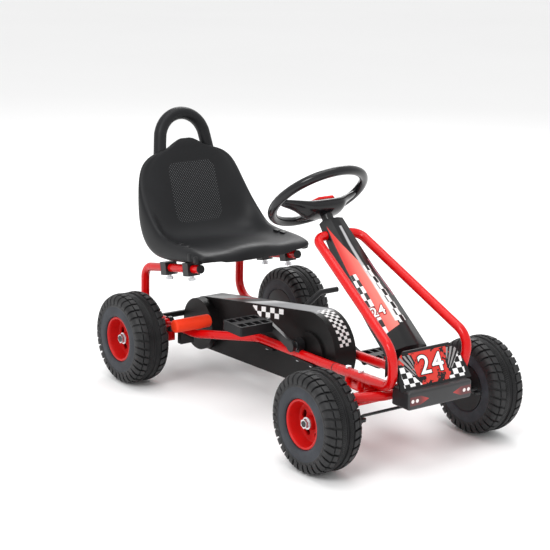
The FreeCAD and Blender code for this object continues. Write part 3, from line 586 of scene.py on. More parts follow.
@dataclass(frozen=True)
class ShroudPrint:
    """The column shroud: a red panel with a pale streak beside it, and two ladders of checkers."""

    name: str
    centre: Vector
    up: Vector
    half_at_top: float = 0.0202
    widening: float = 0.0775
    half_at_foot: float = 0.047
    rung: float = 0.0165
    edge: float = -0.965

    def make(self) -> bpy.types.Material:
        """Builds the material."""
        bench = Bench(self.name)
        down = bench.along(self.centre, -self.up)
        x, _, _ = bench.place()
        share = x / (down * self.widening + self.half_at_top).at_most(self.half_at_foot)
        ragged = bench.noise(60.0, 3.0) * 0.10 - 0.05
        foot = (down + share * 0.016).below(0.334)
        tip = (down - 0.112) * 10.0
        panel = share.above(self.edge) * (share + 0.62 - tip).below(0.0) * share.below(-0.02) * foot
        tint = bench.mix((share + down * 1.5).ramp(-0.75, 0.42), (0.60, 0.018, 0.012), (0.84, 0.22, 0.18))
        streak = 1.0 - abs(share - 0.22 + down * 0.75 + ragged * 0.5).ramp(0.055, 0.16)
        streak = streak * down.between(0.083, 0.325)
        glow = bench.mix(down.ramp(0.15, 0.27), (0.42, 0.42, 0.43), (0.85, 0.80, 0.79))
        rung = (down / self.rung).floor().odd()
        right = rung.either((share / 0.22 + 0.1).floor().odd())
        right = right * share.between(0.06, 0.50) * down.above(0.185)
        lane = share.between(self.edge, -0.64) * down.above(0.20)
        left = rung.either((share / 0.16).floor().odd()) * lane
        line = share.between(0.86, 0.955) * down.between(0.168, 0.262)
        black = bench.scuffed(8.0, (0.0060, 0.0060, 0.0065), (0.010, 0.010, 0.011))
        colour = bench.mix(panel, black, tint)
        colour = bench.mix(lane * foot, colour, (0.02, 0.015, 0.015))
        colour = bench.mix(streak * foot, colour, glow)
        colour = bench.mix((right + left).at_most(1.0) * foot, colour, (0.84, 0.83, 0.83))
        colour = bench.mix(line, colour, (0.42, 0.12, 0.17))
        rough = 0.24 + bench.noise(24.0, 5.0) * 0.12
        normal = bench.bump(bench.noise(700.0, 2.0), 0.00005)
        return bench.finish({"Coat Weight": 0.15, "Coat Roughness": 0.12, "Specular IOR Level": 0.2},
                            Base_Color=colour, Roughness=rough, Normal=normal)


@dataclass(frozen=True)
class FairingPrint:
    """The front plate's label: checkered corners, torn red patches and grey rays."""

    name: str
    low: float
    high: float
    half: float = 0.078
    border: float = 0.0045
    across: float = 0.0125
    rise: float = 0.0098

    def make(self) -> bpy.types.Material:
        """Builds the material."""
        bench = Bench(self.name)
        x, _, z = bench.place()
        up = z - self.low
        tall = self.high - self.low
        side = abs(x)
        label = side.below(self.half) * up.between(self.border, tall - self.border)
        label = label * (side + up * 0.8).below(0.121)
        torn = bench.noise(48.0, 5.0, 0.65)
        red = (torn * 4.0 + (0.040 - side) * 16.0 + (up - 0.030) * 6.0).above(2.15)
        red = red * side.below(0.056) * label
        blot = (torn + (side - 0.066) * 30.0).above(0.52) * up.above(0.042) * x.below(0.0) * label
        fan = (up - 0.004).angle_to(side - 0.026)
        rays = (fan * 6.5 + torn * 0.4).fract().above(0.5) * side.between(0.042, 0.074)
        rays = rays * up.between(0.022, 0.058) * label
        corner = (up - side * 1.05 + 0.030).below(0.0) * side.above(0.034) * up.below(0.044) * label
        lean = x + up * 0.10
        squares = (lean / self.across).floor().odd().either((up / self.rise).floor().odd())
        black = bench.clouded(8.0, (0.0060, 0.0060, 0.0065), (0.010, 0.010, 0.011))
        colour = bench.mix((red + blot).at_most(1.0), black, (0.62, 0.040, 0.028))
        colour = bench.mix(rays, colour, (0.27, 0.26, 0.26))
        colour = bench.mix(corner, colour, (0.010, 0.010, 0.010))
        colour = bench.mix(corner * squares, colour, (0.84, 0.84, 0.84))
        rough = 0.30 - label * 0.08 + bench.noise(24.0, 5.0) * 0.12
        normal = bench.bump(bench.noise(700.0, 2.0), 0.00005)
        return bench.finish({"Coat Weight": 0.15, "Coat Roughness": 0.1, "Specular IOR Level": 0.2},
                            Base_Color=colour, Roughness=rough, Normal=normal)


@dataclass(frozen=True)
class HubMoulding:
    """The wheel hub: red where it faces out, black on the side that faces the frame."""

    name: str
    inner: float
    colour: RGB = (0.60, 0.007, 0.006)

    def make(self) -> bpy.types.Material:
        """Builds the material."""
        bench = Bench(self.name)
        x, _, _ = bench.place()
        back = abs(x).below(self.inner + 0.004)
        deep = tuple(c * 0.75 for c in self.colour)
        colour = bench.mix(bench.noise(14.0, 4.0).ramp(0.35, 0.75), deep, self.colour)
        dust = bench.noise(260.0, 6.0, 0.7).ramp(0.6, 0.78)
        colour = bench.mix(dust * 0.12, colour, (0.5, 0.32, 0.30))
        colour = bench.mix(back, colour, (0.010, 0.010, 0.011))
        rough = 0.34 + bench.noise(40.0, 5.0) * 0.16 + dust * 0.08
        normal = bench.bump(bench.cells(900.0), 0.00004)
        return bench.finish({"Coat Weight": 0.1, "Coat Roughness": 0.15, "Specular IOR Level": 0.25},
                            Base_Color=colour, Roughness=rough, Normal=normal)


@dataclass(frozen=True)
class BumperPrint:
    """The bumper's face with a printed pair of lamps at each end."""

    name: str
    front: float
    middle: float
    lamp_at: Tuple[float, float] = (0.0595, 0.0705)

    def make(self) -> bpy.types.Material:
        """Builds the material."""
        bench = Bench(self.name)
        x, y, z = bench.place()
        side = abs(x)
        rise = abs(z - self.middle)
        face = y.below(self.front + 0.0035)
        wedge = face * side.between(0.030, 0.0765) * rise.below(0.0088)
        wedge = wedge * (rise - (side - 0.030) * 0.42).below(0.0)
        dots = None
        for at in self.lamp_at:
            far = ((side - at) * (side - at) + rise * rise).root()
            dot = 1.0 - far.ramp(0.0033, 0.0040)
            dots = dot if dots is None else dots + dot
        base = bench.mix(bench.noise(8.0, 4.0).ramp(0.35, 0.75), (0.014, 0.014, 0.015), (0.024, 0.024, 0.026))
        dark = bench.mix(side.ramp(0.030, 0.056), (0.45, 0.025, 0.02), (0.10, 0.012, 0.014))
        colour = bench.mix(wedge, base, dark)
        colour = bench.mix(dots * face, colour, (0.85, 0.78, 0.76))
        rough = 0.36 + bench.noise(24.0, 5.0) * 0.14 - wedge * 0.1
        normal = bench.bump(bench.cells(900.0), 0.00006)
        return bench.finish({"Coat Weight": 0.15, "Coat Roughness": 0.12}, Base_Color=colour, Roughness=rough,
                            Normal=normal)


# ------------------------------------------------------------------ making
class Maker:
    """Turns meshes into finished pieces of the kart."""

    def __init__(self) -> None:
        """Reads the record's slots and body names."""
        record = frame["record"]
        self.slots = {p["node"]: p["material_slot"] for p in record["subparts"]}
        self.body_of = {n: b for b, nodes in record["behaviour"]["bodies"].items() for n in nodes}

    def piece(self, name: str, bm: bmesh.types.BMesh, body: str,
              skins: Sequence[bpy.types.Material], smooth: float = 35.0,
              stands_for: Sequence[str] = ()) -> bpy.types.Object:
        """Makes an object of a mesh and hangs it on its body.

        Args:
            name: The piece's name.
            bm: Its mesh, which is freed.
            body: The body that it rides on.
            skins: Its materials, in the order of its faces' indices.
            smooth: Edges sharper than this, in degrees, stay sharp.
            stands_for: Nodes that it replaces.

        Returns:
            The new object.
        """
        limit = math.radians(smooth)
        for face in bm.faces:
            face.smooth = True
        for edge in bm.edges:
            edge.smooth = not (len(edge.link_faces) == 2 and edge.calc_face_angle(0.0) > limit)
        mesh = bpy.data.meshes.new(name)
        bm.to_mesh(mesh)
        bm.free()
        made = bpy.data.objects.new(name, mesh)
        bpy.context.scene.collection.objects.link(made)
        for skin in skins:
            mesh.materials.append(skin)
        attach(made, body)
        if stands_for:
            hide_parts(*stands_for)
        LOG.info("piece %s: %d faces on %s", name, len(mesh.polygons), body)
        return made

    def smooth_copy(self, node: str, skin: bpy.types.Material, smooth: float = 32.0) -> bpy.types.Object:
        """Shows a node through a merged copy, so that its curves shade smoothly.

        Args:
            node: The node's name.
            skin: Its material.
            smooth: Edges sharper than this stay sharp.

        Returns:
            The copy.
        """
        bm = bmesh.new()
        bm.from_mesh(frame["nodes"][node].data)
        bmesh.ops.remove_doubles(bm, verts=bm.verts[:], dist=2e-6)
        return self.piece("look_" + node, bm, self.body_of[node], [skin], smooth, [node])


def spun(bm: bmesh.types.BMesh, profile: Sequence[Tuple[float, float]], centre: Vector,
         steps: int) -> List[bmesh.types.BMFace]:
    """Spins a closed profile of (across, radius) round the X axis through centre.

    Args:
        bm: The mesh to add to.
        profile: Points in metres.
        centre: A point on the axis.
        steps: Divisions of the full turn.

    Returns:
        The new faces.
    """
    before = set(bm.faces)
    verts = [bm.verts.new(centre + Vector((x, 0.0, r))) for x, r in profile]
    edges = [bm.edges.new(pair) for pair in zip(verts, verts[1:])]
    edges.append(bm.edges.new((verts[-1], verts[0])))
    bmesh.ops.spin(bm, geom=verts + edges, cent=centre, axis=(1, 0, 0), angle=2 * math.pi,
                   steps=steps, use_merge=True)
    return [f for f in bm.faces if f not in before]


def block(bm: bmesh.types.BMesh, centre: Vector, size: Tuple[float, float, float], round_by: float,
          segments: int) -> None:
    """Adds a box with rounded edges, in millimetres.

    Args:
        bm: The mesh to add to.
        centre: Its middle.
        size: Its length along each of its own axes.
        round_by: Width of the rounded edge.
        segments: Steps in the rounding.
    """
    place = Matrix.Translation(centre * MM) @ Matrix.Diagonal((size[0] * MM, size[1] * MM, size[2] * MM, 1.0))
    verts = bmesh.ops.create_cube(bm, size=1.0, matrix=place)["verts"]
    edges = list({e for v in verts for e in v.link_edges})
    bmesh.ops.bevel(bm, geom=edges, offset=round_by * MM, offset_type="OFFSET", affect="EDGES",
                    segments=segments, profile=0.5, material=-1)


def loft(bm: bmesh.types.BMesh, rings: Sequence[Sequence[Vector]]) -> None:
    """Bridges closed rings of points one after another and closes both ends.

    Args:
        bm: The mesh to add to.
        rings: Rings of points in metres, all with the same count.
    """
    loops = []
    for ring in rings:
        verts = [bm.verts.new(p) for p in ring]
        loops.append([bm.edges.new((verts[i], verts[(i + 1) % len(verts)])) for i in range(len(verts))])
    for one, other in zip(loops, loops[1:]):
        bmesh.ops.bridge_loops(bm, edges=one + other)
    for loop in (loops[0], loops[-1]):
        bmesh.ops.edgenet_fill(bm, edges=loop)
    bmesh.ops.recalc_face_normals(bm, faces=bm.faces[:])


# ------------------------------------------------------------------ wheels
@dataclass
class KartWheel:
    """One lugged tyre. Sizes are in millimetres."""

    side: Side
    end: str
    body: str
    lugs: int = 34
    ribs: int = 150
    bead: float = 49.7
    wall_r: float = 72.2
    steps: int = 128
    tyre_mats: Tuple[bpy.types.Material, ...] = ()

    @property
    def node(self) -> str:
        """The tyre node that this stands for."""
        return f"{self.end}_tyre_{self.side.word}"

    def centre(self) -> Vector:
        """The wheel's middle."""
        low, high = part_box(self.node)
        return (low + high) / 2

    def carcass(self, bm: bmesh.types.BMesh, centre: Vector) -> None:
        """Spins the smooth body of the tyre.

        Args:
            bm: The mesh to add to.
            centre: The wheel's middle.
        """
        wall = [(33.0, self.bead), (37.5, 50.6), (39.2, 52.5), (39.8, 56.0), (39.4, 62.0), (38.6, 69.0),
                (38.2, 71.5), (38.8, 72.6), (38.9, 76.0), (37.2, 83.0), (33.0, 89.5), (26.0, 93.6),
                (16.0, 95.6), (3.2, 96.4), (2.4, 95.2), (1.2, 95.2), (0.6, 96.4)]
        profile = wall + [(-x, r) for x, r in reversed(wall)]
        profile = [(x * MM, r * MM) for x, r in profile]
        for face in spun(bm, profile, centre, self.steps):
            middle = face.calc_center_median() - centre
            face.material_index = 0 if math.hypot(middle.y, middle.z) < self.wall_r * MM else 1

    def tread_block(self, bm: bmesh.types.BMesh, centre: Vector, outline: Sequence[Tuple[float, float]],
                    start: float, sweep: float, skew: float, bevel: float) -> None:
        """Makes one tread block by spinning its section through a small angle.

        Args:
            bm: The mesh to add to.
            centre: The wheel's middle.
            outline: The block's section as (across, radius) in millimetres.
            start: Its first angle in degrees.
            sweep: Its length round the tyre in degrees.
            skew: Degrees by which it leans from its outer to its inner end.
            bevel: Width of its rounded edge in millimetres.
        """
        first = set(bm.verts)
        verts = [bm.verts.new(centre + Vector((x * MM, 0.0, r * MM))) for x, r in outline]
        face = bm.faces.new(verts)
        bmesh.ops.spin(bm, geom=[face, *face.edges, *verts], cent=centre, axis=(1, 0, 0),
                       angle=math.radians(sweep), steps=1)
        new = [v for v in bm.verts if v not in first]
        low = min(x for x, _ in outline)
        high = max(x for x, _ in outline)
        for v in new:
            x = (v.co.x - centre.x) / MM
            share = (x - low) / (high - low)
            turn = Matrix.Rotation(math.radians(start + skew * (0.5 - share)), 3, "X")
            v.co = centre + turn @ (v.co - centre)
        faces = {f for v in new for f in v.link_faces}
        edges = list({e for f in faces for e in f.edges})
        bmesh.ops.recalc_face_normals(bm, faces=list(faces))
        bmesh.ops.bevel(bm, geom=edges, offset=bevel * MM, offset_type="OFFSET", affect="EDGES",
                        segments=1, profile=0.5, material=-1)

    def tread(self, centre: Vector) -> bmesh.types.BMesh:
        """Makes every lug: one pitch of blocks, turned round the tyre.

        Args:
            centre: The wheel's middle.

        Returns:
            The tread's mesh.
        """
        bm = bmesh.new()
        pitch = 360.0 / self.lugs
        shoulder = [(36.6, 76.5), (39.3, 77.5), (39.9, 83.0), (38.6, 89.5), (34.6, 94.8), (28.6, 97.6),
                    (27.6, 92.0), (33.5, 87.0)]
        middle = [(26.6, 92.5), (27.0, 98.2), (22.0, 99.4), (15.6, 99.9), (15.6, 94.0)]
        hook = [(37.0, 73.8), (39.4, 74.6), (39.8, 78.4), (37.6, 79.0)]
        for sign, phase in ((1, 0.0), (-1, pitch / 2)):
            for outline, start, sweep, skew in ((shoulder, 0.0, pitch * 0.76, 3.0),
                                                (middle, 1.6, pitch * 0.76, 2.0),
                                                (hook, pitch * 0.16, pitch * 0.40, 2.0)):
                turned = [(sign * x, r) for x, r in outline]
                self.tread_block(bm, centre, turned, start + phase, sweep, sign * skew, 0.8)
        step = 2 * math.pi / self.lugs
        bmesh.ops.spin(bm, geom=bm.verts[:] + bm.edges[:] + bm.faces[:], cent=centre, axis=(1, 0, 0),
                       angle=step * (self.lugs - 1), steps=self.lugs - 1, use_duplicate=True)
        return bm

    def comb(self, centre: Vector) -> bmesh.types.BMesh:
        """Makes the fine cross ribs on both sides of the centre groove.

        Args:
            centre: The wheel's middle.

        Returns:
            The ribs' mesh.
        """
        bm = bmesh.new()
        pitch = 360.0 / self.ribs
        for sign in (1, -1):
            rib = [(sign * 14.0, 94.5), (sign * 14.0, 98.4), (sign * 3.8, 98.9), (sign * 3.8, 95.0)]
            self.tread_block(bm, centre, rib, 0.0, pitch * 0.55, sign * 4.0, 0.35)
        bmesh.ops.spin(bm, geom=bm.verts[:] + bm.edges[:] + bm.faces[:], cent=centre, axis=(1, 0, 0),
                       angle=2 * math.pi * (self.ribs - 1) / self.ribs, steps=self.ribs - 1,
                       use_duplicate=True)
        return bm

    def build(self, maker: Maker) -> None:
        """Makes the tyre and stands it in for its node.

        Args:
            maker: What hangs pieces on bodies.
        """
        centre = self.centre()
        bm = bmesh.new()
        self.carcass(bm, centre)
        for part in (self.tread(centre), self.comb(centre)):
            for face in part.faces:
                face.material_index = 1
            mesh = bpy.data.meshes.new("spare")
            part.to_mesh(mesh)
            part.free()
            bm.from_mesh(mesh)
            bpy.data.meshes.remove(mesh)
        maker.piece(f"lugged_{self.node}", bm, self.body, self.tyre_mats, 30.0, [self.node])


# ------------------------------------------------------------------ seat
@dataclass(frozen=True)
class SeatRow:
    """One cross-section of the seat, in millimetres. lean is the surface's normal as (y, z)."""

    y: float
    z: float
    lean: Tuple[float, float]
    half: float
    lift: float
    thick: float
    wave: float = 0.0


@dataclass
class BucketSeat:
    """The blow-moulded seat with its carrying handle."""

    skin: bpy.types.Material
    slot_skin: bpy.types.Material
    handle_r: float = 14.4
    handle_half: float = 68.0
    handle_foot: Tuple[float, float, float] = (0.0, 462.0, 462.0)
    handle_lean: float = 12.8
    handle_splay: float = 10.0
    handle_arc_r: float = 60.0
    lug_foot: float = 284.8
    notch_from: Tuple[float, float] = (105.0, 183.0)
    notch_top: float = 293.0
    notch_rise: float = 8.0
    rows: Tuple[SeatRow, ...] = (
        SeatRow(165, 281, (-0.97, 0.22), 139, 1, 10, 2),
        SeatRow(166, 292, (-0.92, 0.38), 144, 2, 16, 6),
        SeatRow(174, 304, (-0.55, 0.84), 147, 3, 22, 9),
        SeatRow(194, 307, (-0.06, 1.0), 149, 4, 26, 8),
        SeatRow(235, 302, (0.10, 1.0), 150.5, 11, 27, 4),
        SeatRow(285, 295, (0.08, 1.0), 151, 17, 27, 0),
        SeatRow(326, 292, (0.0, 1.0), 151, 24, 29, 0),
        SeatRow(358, 296, (-0.35, 0.94), 151, 34, 34, 0),
        SeatRow(383, 312, (-0.75, 0.66), 151, 36, 37, 0),
        SeatRow(398, 342, (-0.93, 0.36), 150, 24, 36, 0),
        SeatRow(409, 376, (-0.94, 0.34), 147, 6, 32, 0),
        SeatRow(422, 412, (-0.94, 0.34), 141, -4, 28, 0),
        SeatRow(434, 444, (-0.94, 0.34), 131, -7, 25, 0),
        SeatRow(440, 462, (-0.94, 0.34), 119, -6, 24, 0),
        SeatRow(445, 476, (-0.94, 0.34), 99, -3, 24, 0),
        SeatRow(448, 483, (-0.94, 0.34), 74, -1, 24, 0),
        SeatRow(450, 490, (-0.94, 0.34), 47, 0, 23, 0),
        SeatRow(453, 497, (-0.92, 0.40), 38, 0, 20, 0),
        SeatRow(457, 503, (-0.85, 0.53), 26, 0, 15, 0),
        SeatRow(461, 507, (-0.6, 0.8), 13, 0, 9, 0),
    )

    def ring(self, bm: bmesh.types.BMesh, row: SeatRow) -> List[bmesh.types.BMEdge]:
        """Adds one closed cross-section.

        Args:
            bm: The mesh to add to.
            row: The section's sizes.

        Returns:
            Its edges.
        """
        normal = Vector((0.0, row.lean[0], row.lean[1])).normalized()
        origin = Vector((0.0, row.y, row.z))
        h = row.half
        edge = min(16.0, h * 0.3)
        top = [(0.0, row.wave), (h * 0.22, row.wave * 0.8), (h * 0.46, -row.wave * 0.2),
               (h * 0.66, row.lift * 0.10),
               (h * 0.80, row.lift * 0.42), (h - edge, row.lift * 0.93), (h - edge * 0.45, row.lift),
               (h, row.lift - edge * 0.35)]
        under = [(h, -row.thick * 0.5), (h * 0.96, -row.thick * 0.88), (h * 0.84, -row.thick),
                 (h * 0.4, -row.thick)]
        half_ring = top + under
        ring = half_ring + [(0.0, -row.thick)] + [(-x, z) for x, z in reversed(half_ring[1:])]
        verts = [bm.verts.new((origin + Vector((x, 0, 0)) + normal * z) * MM) for x, z in ring]
        return [bm.edges.new((verts[i], verts[(i + 1) % len(verts)])) for i in range(len(verts))]

    def shell(self) -> bmesh.types.BMesh:
        """Bridges the cross-sections into the seat's shell, and lifts its front lip over the tubes."""
        bm = bmesh.new()
        rings = [self.ring(bm, row) for row in self.rows]
        for one, other in zip(rings, rings[1:]):
            bmesh.ops.bridge_loops(bm, edges=one + other)
        for ring in (rings[0], rings[-1]):
            bmesh.ops.edgenet_fill(bm, edges=ring)
        across, back = self.notch_from
        for vert in bm.verts:
            if abs(vert.co.x) > across * MM and vert.co.y < back * MM and vert.co.z < self.notch_top * MM:
                vert.co.z += self.notch_rise * MM
        bmesh.ops.recalc_face_normals(bm, faces=bm.faces[:])
        return bm

    def build(self, maker: Maker) -> None:
        """Makes the seat and its handle.

        Args:
            maker: What hangs pieces on bodies.
        """
        made = maker.piece("seat_shell", self.shell(), "seat_body", [self.skin], 180.0,
                           ["seat"])
        rounding = made.modifiers.new("rounding", "SUBSURF")
        rounding.levels = 2
        rounding.render_levels = 2
        maker.piece("seat_handle", tube_mesh(self.arch(), self.handle_r, 26, 4), "seat_body",
                    [self.skin], 60.0)
        self.lugs(maker)
        self.belt_slots(maker)

    def arch(self) -> List[Tuple[float, float, float]]:
        """The handle's line: two splayed legs and the arc that joins them."""
        splay = math.radians(self.handle_splay)
        lean = math.radians(self.handle_lean)
        rise = (self.handle_half * math.cos(splay) - self.handle_arc_r) / math.sin(splay)
        flat = [(self.handle_half, -6.0), (self.handle_half * 0.995 - 1.0, 4.0)]
        steps = 14
        for step in range(steps + 1):
            turn = splay + (math.pi - 2 * splay) * step / steps
            flat.append((self.handle_arc_r * math.cos(turn), self.handle_arc_r * math.sin(turn) + rise))
        flat += [(-x, h) for x, h in reversed(flat[:2])]
        _, y, z = self.handle_foot
        return [(x, y + h * math.sin(lean), z + h * math.cos(lean)) for x, h in flat]

    def lugs(self, maker: Maker) -> None:
        """Adds the pair of upright ribs on each side of the seat's front.

        Args:
            maker: What hangs pieces on bodies.
        """
        bm = bmesh.new()
        for side in (-1, 1):
            for y, top in ((187, 304), (210, 307)):
                centre = Vector((side * 141.0, y, 0.5 * (top + self.lug_foot)))
                block(bm, centre, (19.0, 18.0, top - self.lug_foot), 6.0, 4)
        maker.piece("seat_lugs", bm, "seat_body", [self.skin], 60.0)

    def belt_slots(self, maker: Maker) -> None:
        """Adds the framed belt slots beside the pan.

        Args:
            maker: What hangs pieces on bodies.
        """
        bm = bmesh.new()
        for side in (-1, 1):
            for y in (252, 276):
                centre = Vector((side * 132.0, y, 309.5))
                block(bm, centre, (13.0, 17.0, 5.0), 1.6, 2)
        maker.piece("belt_slots", bm, "seat_body", [self.slot_skin], 40.0)


def tube_mesh(points: Sequence[Tuple[float, float, float]], radius: float, around: int,
              per_run: int) -> bmesh.types.BMesh:
    """Sweeps a round section along a smooth line through points.

    Args:
        points: Points in millimetres.
        radius: The tube's radius in millimetres.
        around: Vertices round it.
        per_run: Rings between two points.

    Returns:
        The tube's mesh, with closed ends.
    """
    pts = [Vector(p) for p in points]
    path: List[Vector] = []
    for i in range(len(pts) - 1):
        a, b = pts[max(i - 1, 0)], pts[i]
        c, d = pts[i + 1], pts[min(i + 2, len(pts) - 1)]
        for k in range(per_run):
            t = k / per_run
            path.append(0.5 * ((2 * b) + (c - a) * t + (2 * a - 5 * b + 4 * c - d) * t * t
                               + (3 * b - a - 3 * c + d) * t ** 3))
    path.append(pts[-1])
    bm = bmesh.new()
    last: List[bmesh.types.BMEdge] = []
    ref = Vector((0, 1, 0))
    for i, p in enumerate(path):
        ahead = (path[min(i + 1, len(path) - 1)] - path[max(i - 1, 0)]).normalized()
        side = ahead.cross(ref).normalized()
        up = side.cross(ahead).normalized()
        turn = Matrix((side, up, ahead)).transposed().to_4x4()
        turn.translation = p * MM
        ring = bmesh.ops.create_circle(bm, segments=around, radius=radius * MM, matrix=turn)["verts"]
        edges = list({e for v in ring for e in v.link_edges})
        if last:
            bmesh.ops.bridge_loops(bm, edges=last + edges)
        else:
            bmesh.ops.edgenet_fill(bm, edges=edges)
        last = edges
    ends = [e for e in last if len(e.link_faces) == 1]
    bmesh.ops.edgenet_fill(bm, edges=ends)
    bmesh.ops.recalc_face_normals(bm, faces=bm.faces[:])
    return bm


# ------------------------------------------------------------------ steering
@dataclass
class SteeringWheel:
    """The moulded wheel, in millimetres. Its own axes are across, towards the driver, and up."""

    skin: bpy.types.Material
    cap_skin: bpy.types.Material
    centre: Vector
    up: Vector
    rim_r: float = 101.0
    rim_tube_r: float = 9.6
    arms: Tuple[Tuple[float, float, float, float], ...] = (
        (97, 10, 2, -9), (78, 13, -3, -16), (56, 18, -9, -27), (42, 26, -14, -42), (30, 30, -16, -46),
        (0, 31, -16, -48))
    leg: Tuple[Tuple[float, float, float, float], ...] = (
        (20, 20, -17, -44), (40, 17, -14, -32), (62, 14, -8, -20), (80, 12, -3, -12), (97, 11, 3, -6))
    pad: Tuple[Tuple[float, float], ...] = (
        (-33, 11), (-26, 18), (26, 18), (33, 11), (33, -9), (18, -24), (-18, -24), (-33, -9))
    pad_foot: float = -20.0
    pad_thick: float = 7.5

    def frame(self) -> Matrix:
        """The wheel's own axes as a turn and a place."""
        right = Vector((1, 0, 0))
        near = self.up.cross(right).normalized()
        place = Matrix((right, near, self.up)).transposed().to_4x4()
        place.translation = self.centre
        return place

    def section(self, across: float, half: float, top: float, low: float) -> List[Vector]:
        """One ring of the hub and spoke moulding."""
        mid = 0.5 * (top + low)
        ring = [(half * 0.72, top), (-half * 0.72, top), (-half, mid + (top - mid) * 0.4), (-half, mid),
                (-half * 0.7, low), (half * 0.7, low), (half, mid), (half, mid + (top - mid) * 0.4)]
        place = self.frame()
        return [place @ (Vector((across, q, u)) * MM) for q, u in ring]

    def spoke(self) -> List[List[Vector]]:
        """The rings of the spoke that points at the driver."""
        place = self.frame()
        rings = []
        for near, half, top, low in self.leg:
            ring = [(half * 0.7, top), (-half * 0.7, top), (-half, 0.5 * (top + low)), (-half * 0.7, low),
                    (half * 0.7, low), (half, 0.5 * (top + low))]
            rings.append([place @ (Vector((x, near, u)) * MM) for x, u in ring])
        return rings

    def build(self, maker: Maker) -> None:
        """Makes rim, hub moulding, spoke and cap.

        Args:
            maker: What hangs pieces on bodies.
        """
        place = self.frame()
        bm = bmesh.new()
        ring = Matrix.Translation((self.rim_r * MM, 0, 0)) @ Matrix.Rotation(math.pi / 2, 4, "X")
        made = bmesh.ops.create_circle(bm, segments=28, radius=self.rim_tube_r * MM, matrix=place @ ring)
        verts = made["verts"]
        edges = list({e for v in verts for e in v.link_edges})
        bmesh.ops.spin(bm, geom=verts + edges, cent=self.centre, axis=self.up, angle=2 * math.pi, steps=120,
                       use_merge=True)
        bmesh.ops.recalc_face_normals(bm, faces=bm.faces[:])
        maker.piece("steering_rim", bm, "steering", [self.skin], 60.0, ["steering_wheel"])
        bm = bmesh.new()
        sizes = list(self.arms) + [(-a, h, t, b) for a, h, t, b in reversed(self.arms[:-1])]
        loft(bm, [self.section(*size) for size in sizes])
        self.rounded(maker, "steering_hub", bm)
        bm = bmesh.new()
        loft(bm, self.spoke())
        self.rounded(maker, "steering_spoke", bm)
        self.cap(maker)

    def rounded(self, maker: Maker, name: str, bm: bmesh.types.BMesh) -> None:
        """Hangs a moulding and rounds it by subdivision.

        Args:
            maker: What hangs pieces on bodies.
            name: The piece's name.
            bm: Its mesh.
        """
        made = maker.piece(name, bm, "steering", [self.skin], 180.0)
        soft = made.modifiers.new("rounding", "SUBSURF")
        soft.levels = 2
        soft.render_levels = 2

    def cap(self, maker: Maker) -> None:
        """Makes the red pad on the hub.

        Args:
            maker: What hangs pieces on bodies.
        """
        place = self.frame()
        bm = bmesh.new()
        verts = [bm.verts.new(place @ (Vector((x, y, self.pad_foot)) * MM)) for x, y in self.pad]
        face = bm.faces.new(verts)
        got = bmesh.ops.extrude_face_region(bm, geom=[face])
        top = [v for v in got["geom"] if isinstance(v, bmesh.types.BMVert)]
        bmesh.ops.translate(bm, verts=top, vec=self.up * self.pad_thick * MM)
        bmesh.ops.recalc_face_normals(bm, faces=bm.faces[:])
        bmesh.ops.bevel(bm, geom=bm.edges[:], offset=2.6 * MM, offset_type="OFFSET", affect="EDGES",
                        segments=3, profile=0.5, material=-1)
        maker.piece("steering_pad", bm, "steering", [self.cap_skin], 40.0, ["steering_cap"])


@dataclass
class NumberDecal:
    """A race number in three layers: coloured edge, dark edge, white face."""

    name: str
    digits: str
    size: float
    origin: Vector
    right: Vector
    up: Vector
    skins: Tuple[bpy.types.Material, ...]
    wide: float = 1.0
    swell: Tuple[float, ...] = (0.075, 0.045, 0.010)
    spacing: float = 1.12
    lift: float = 0.00035
    layer: float = 0.00022

    def build(self, maker: Maker) -> None:
        """Makes the layers as one piece.

        Args:
            maker: What hangs pieces on bodies.
        """
        out = self.right.cross(self.up).normalized()
        bm = bmesh.new()
        for level, (swell, skin) in enumerate(zip(self.swell, self.skins)):
            curve = bpy.data.curves.new("digits", "FONT")
            curve.body = self.digits
            curve.align_x = "CENTER"
            curve.align_y = "CENTER"
            curve.size = 1.0
            curve.offset = swell
            curve.space_character = self.spacing
            curve.resolution_u = 6
            spare = bpy.data.objects.new("digits", curve)
            mesh = bpy.data.meshes.new_from_object(spare)
            turn = Matrix((self.right * self.size * self.wide, self.up * self.size, out))
            turn = turn.transposed().to_4x4()
            turn.translation = self.origin + out * (self.lift + self.layer * level)
            mesh.transform(turn)
            first = len(bm.faces)
            bm.from_mesh(mesh)
            bm.faces.ensure_lookup_table()
            for face in bm.faces[first:]:
                face.material_index = level
            bpy.data.objects.remove(spare)
            bpy.data.curves.remove(curve)
            bpy.data.meshes.remove(mesh)
        bmesh.ops.remove_doubles(bm, verts=bm.verts[:], dist=1e-6)
        maker.piece(self.name, bm, "frame", list(self.skins), 30.0)


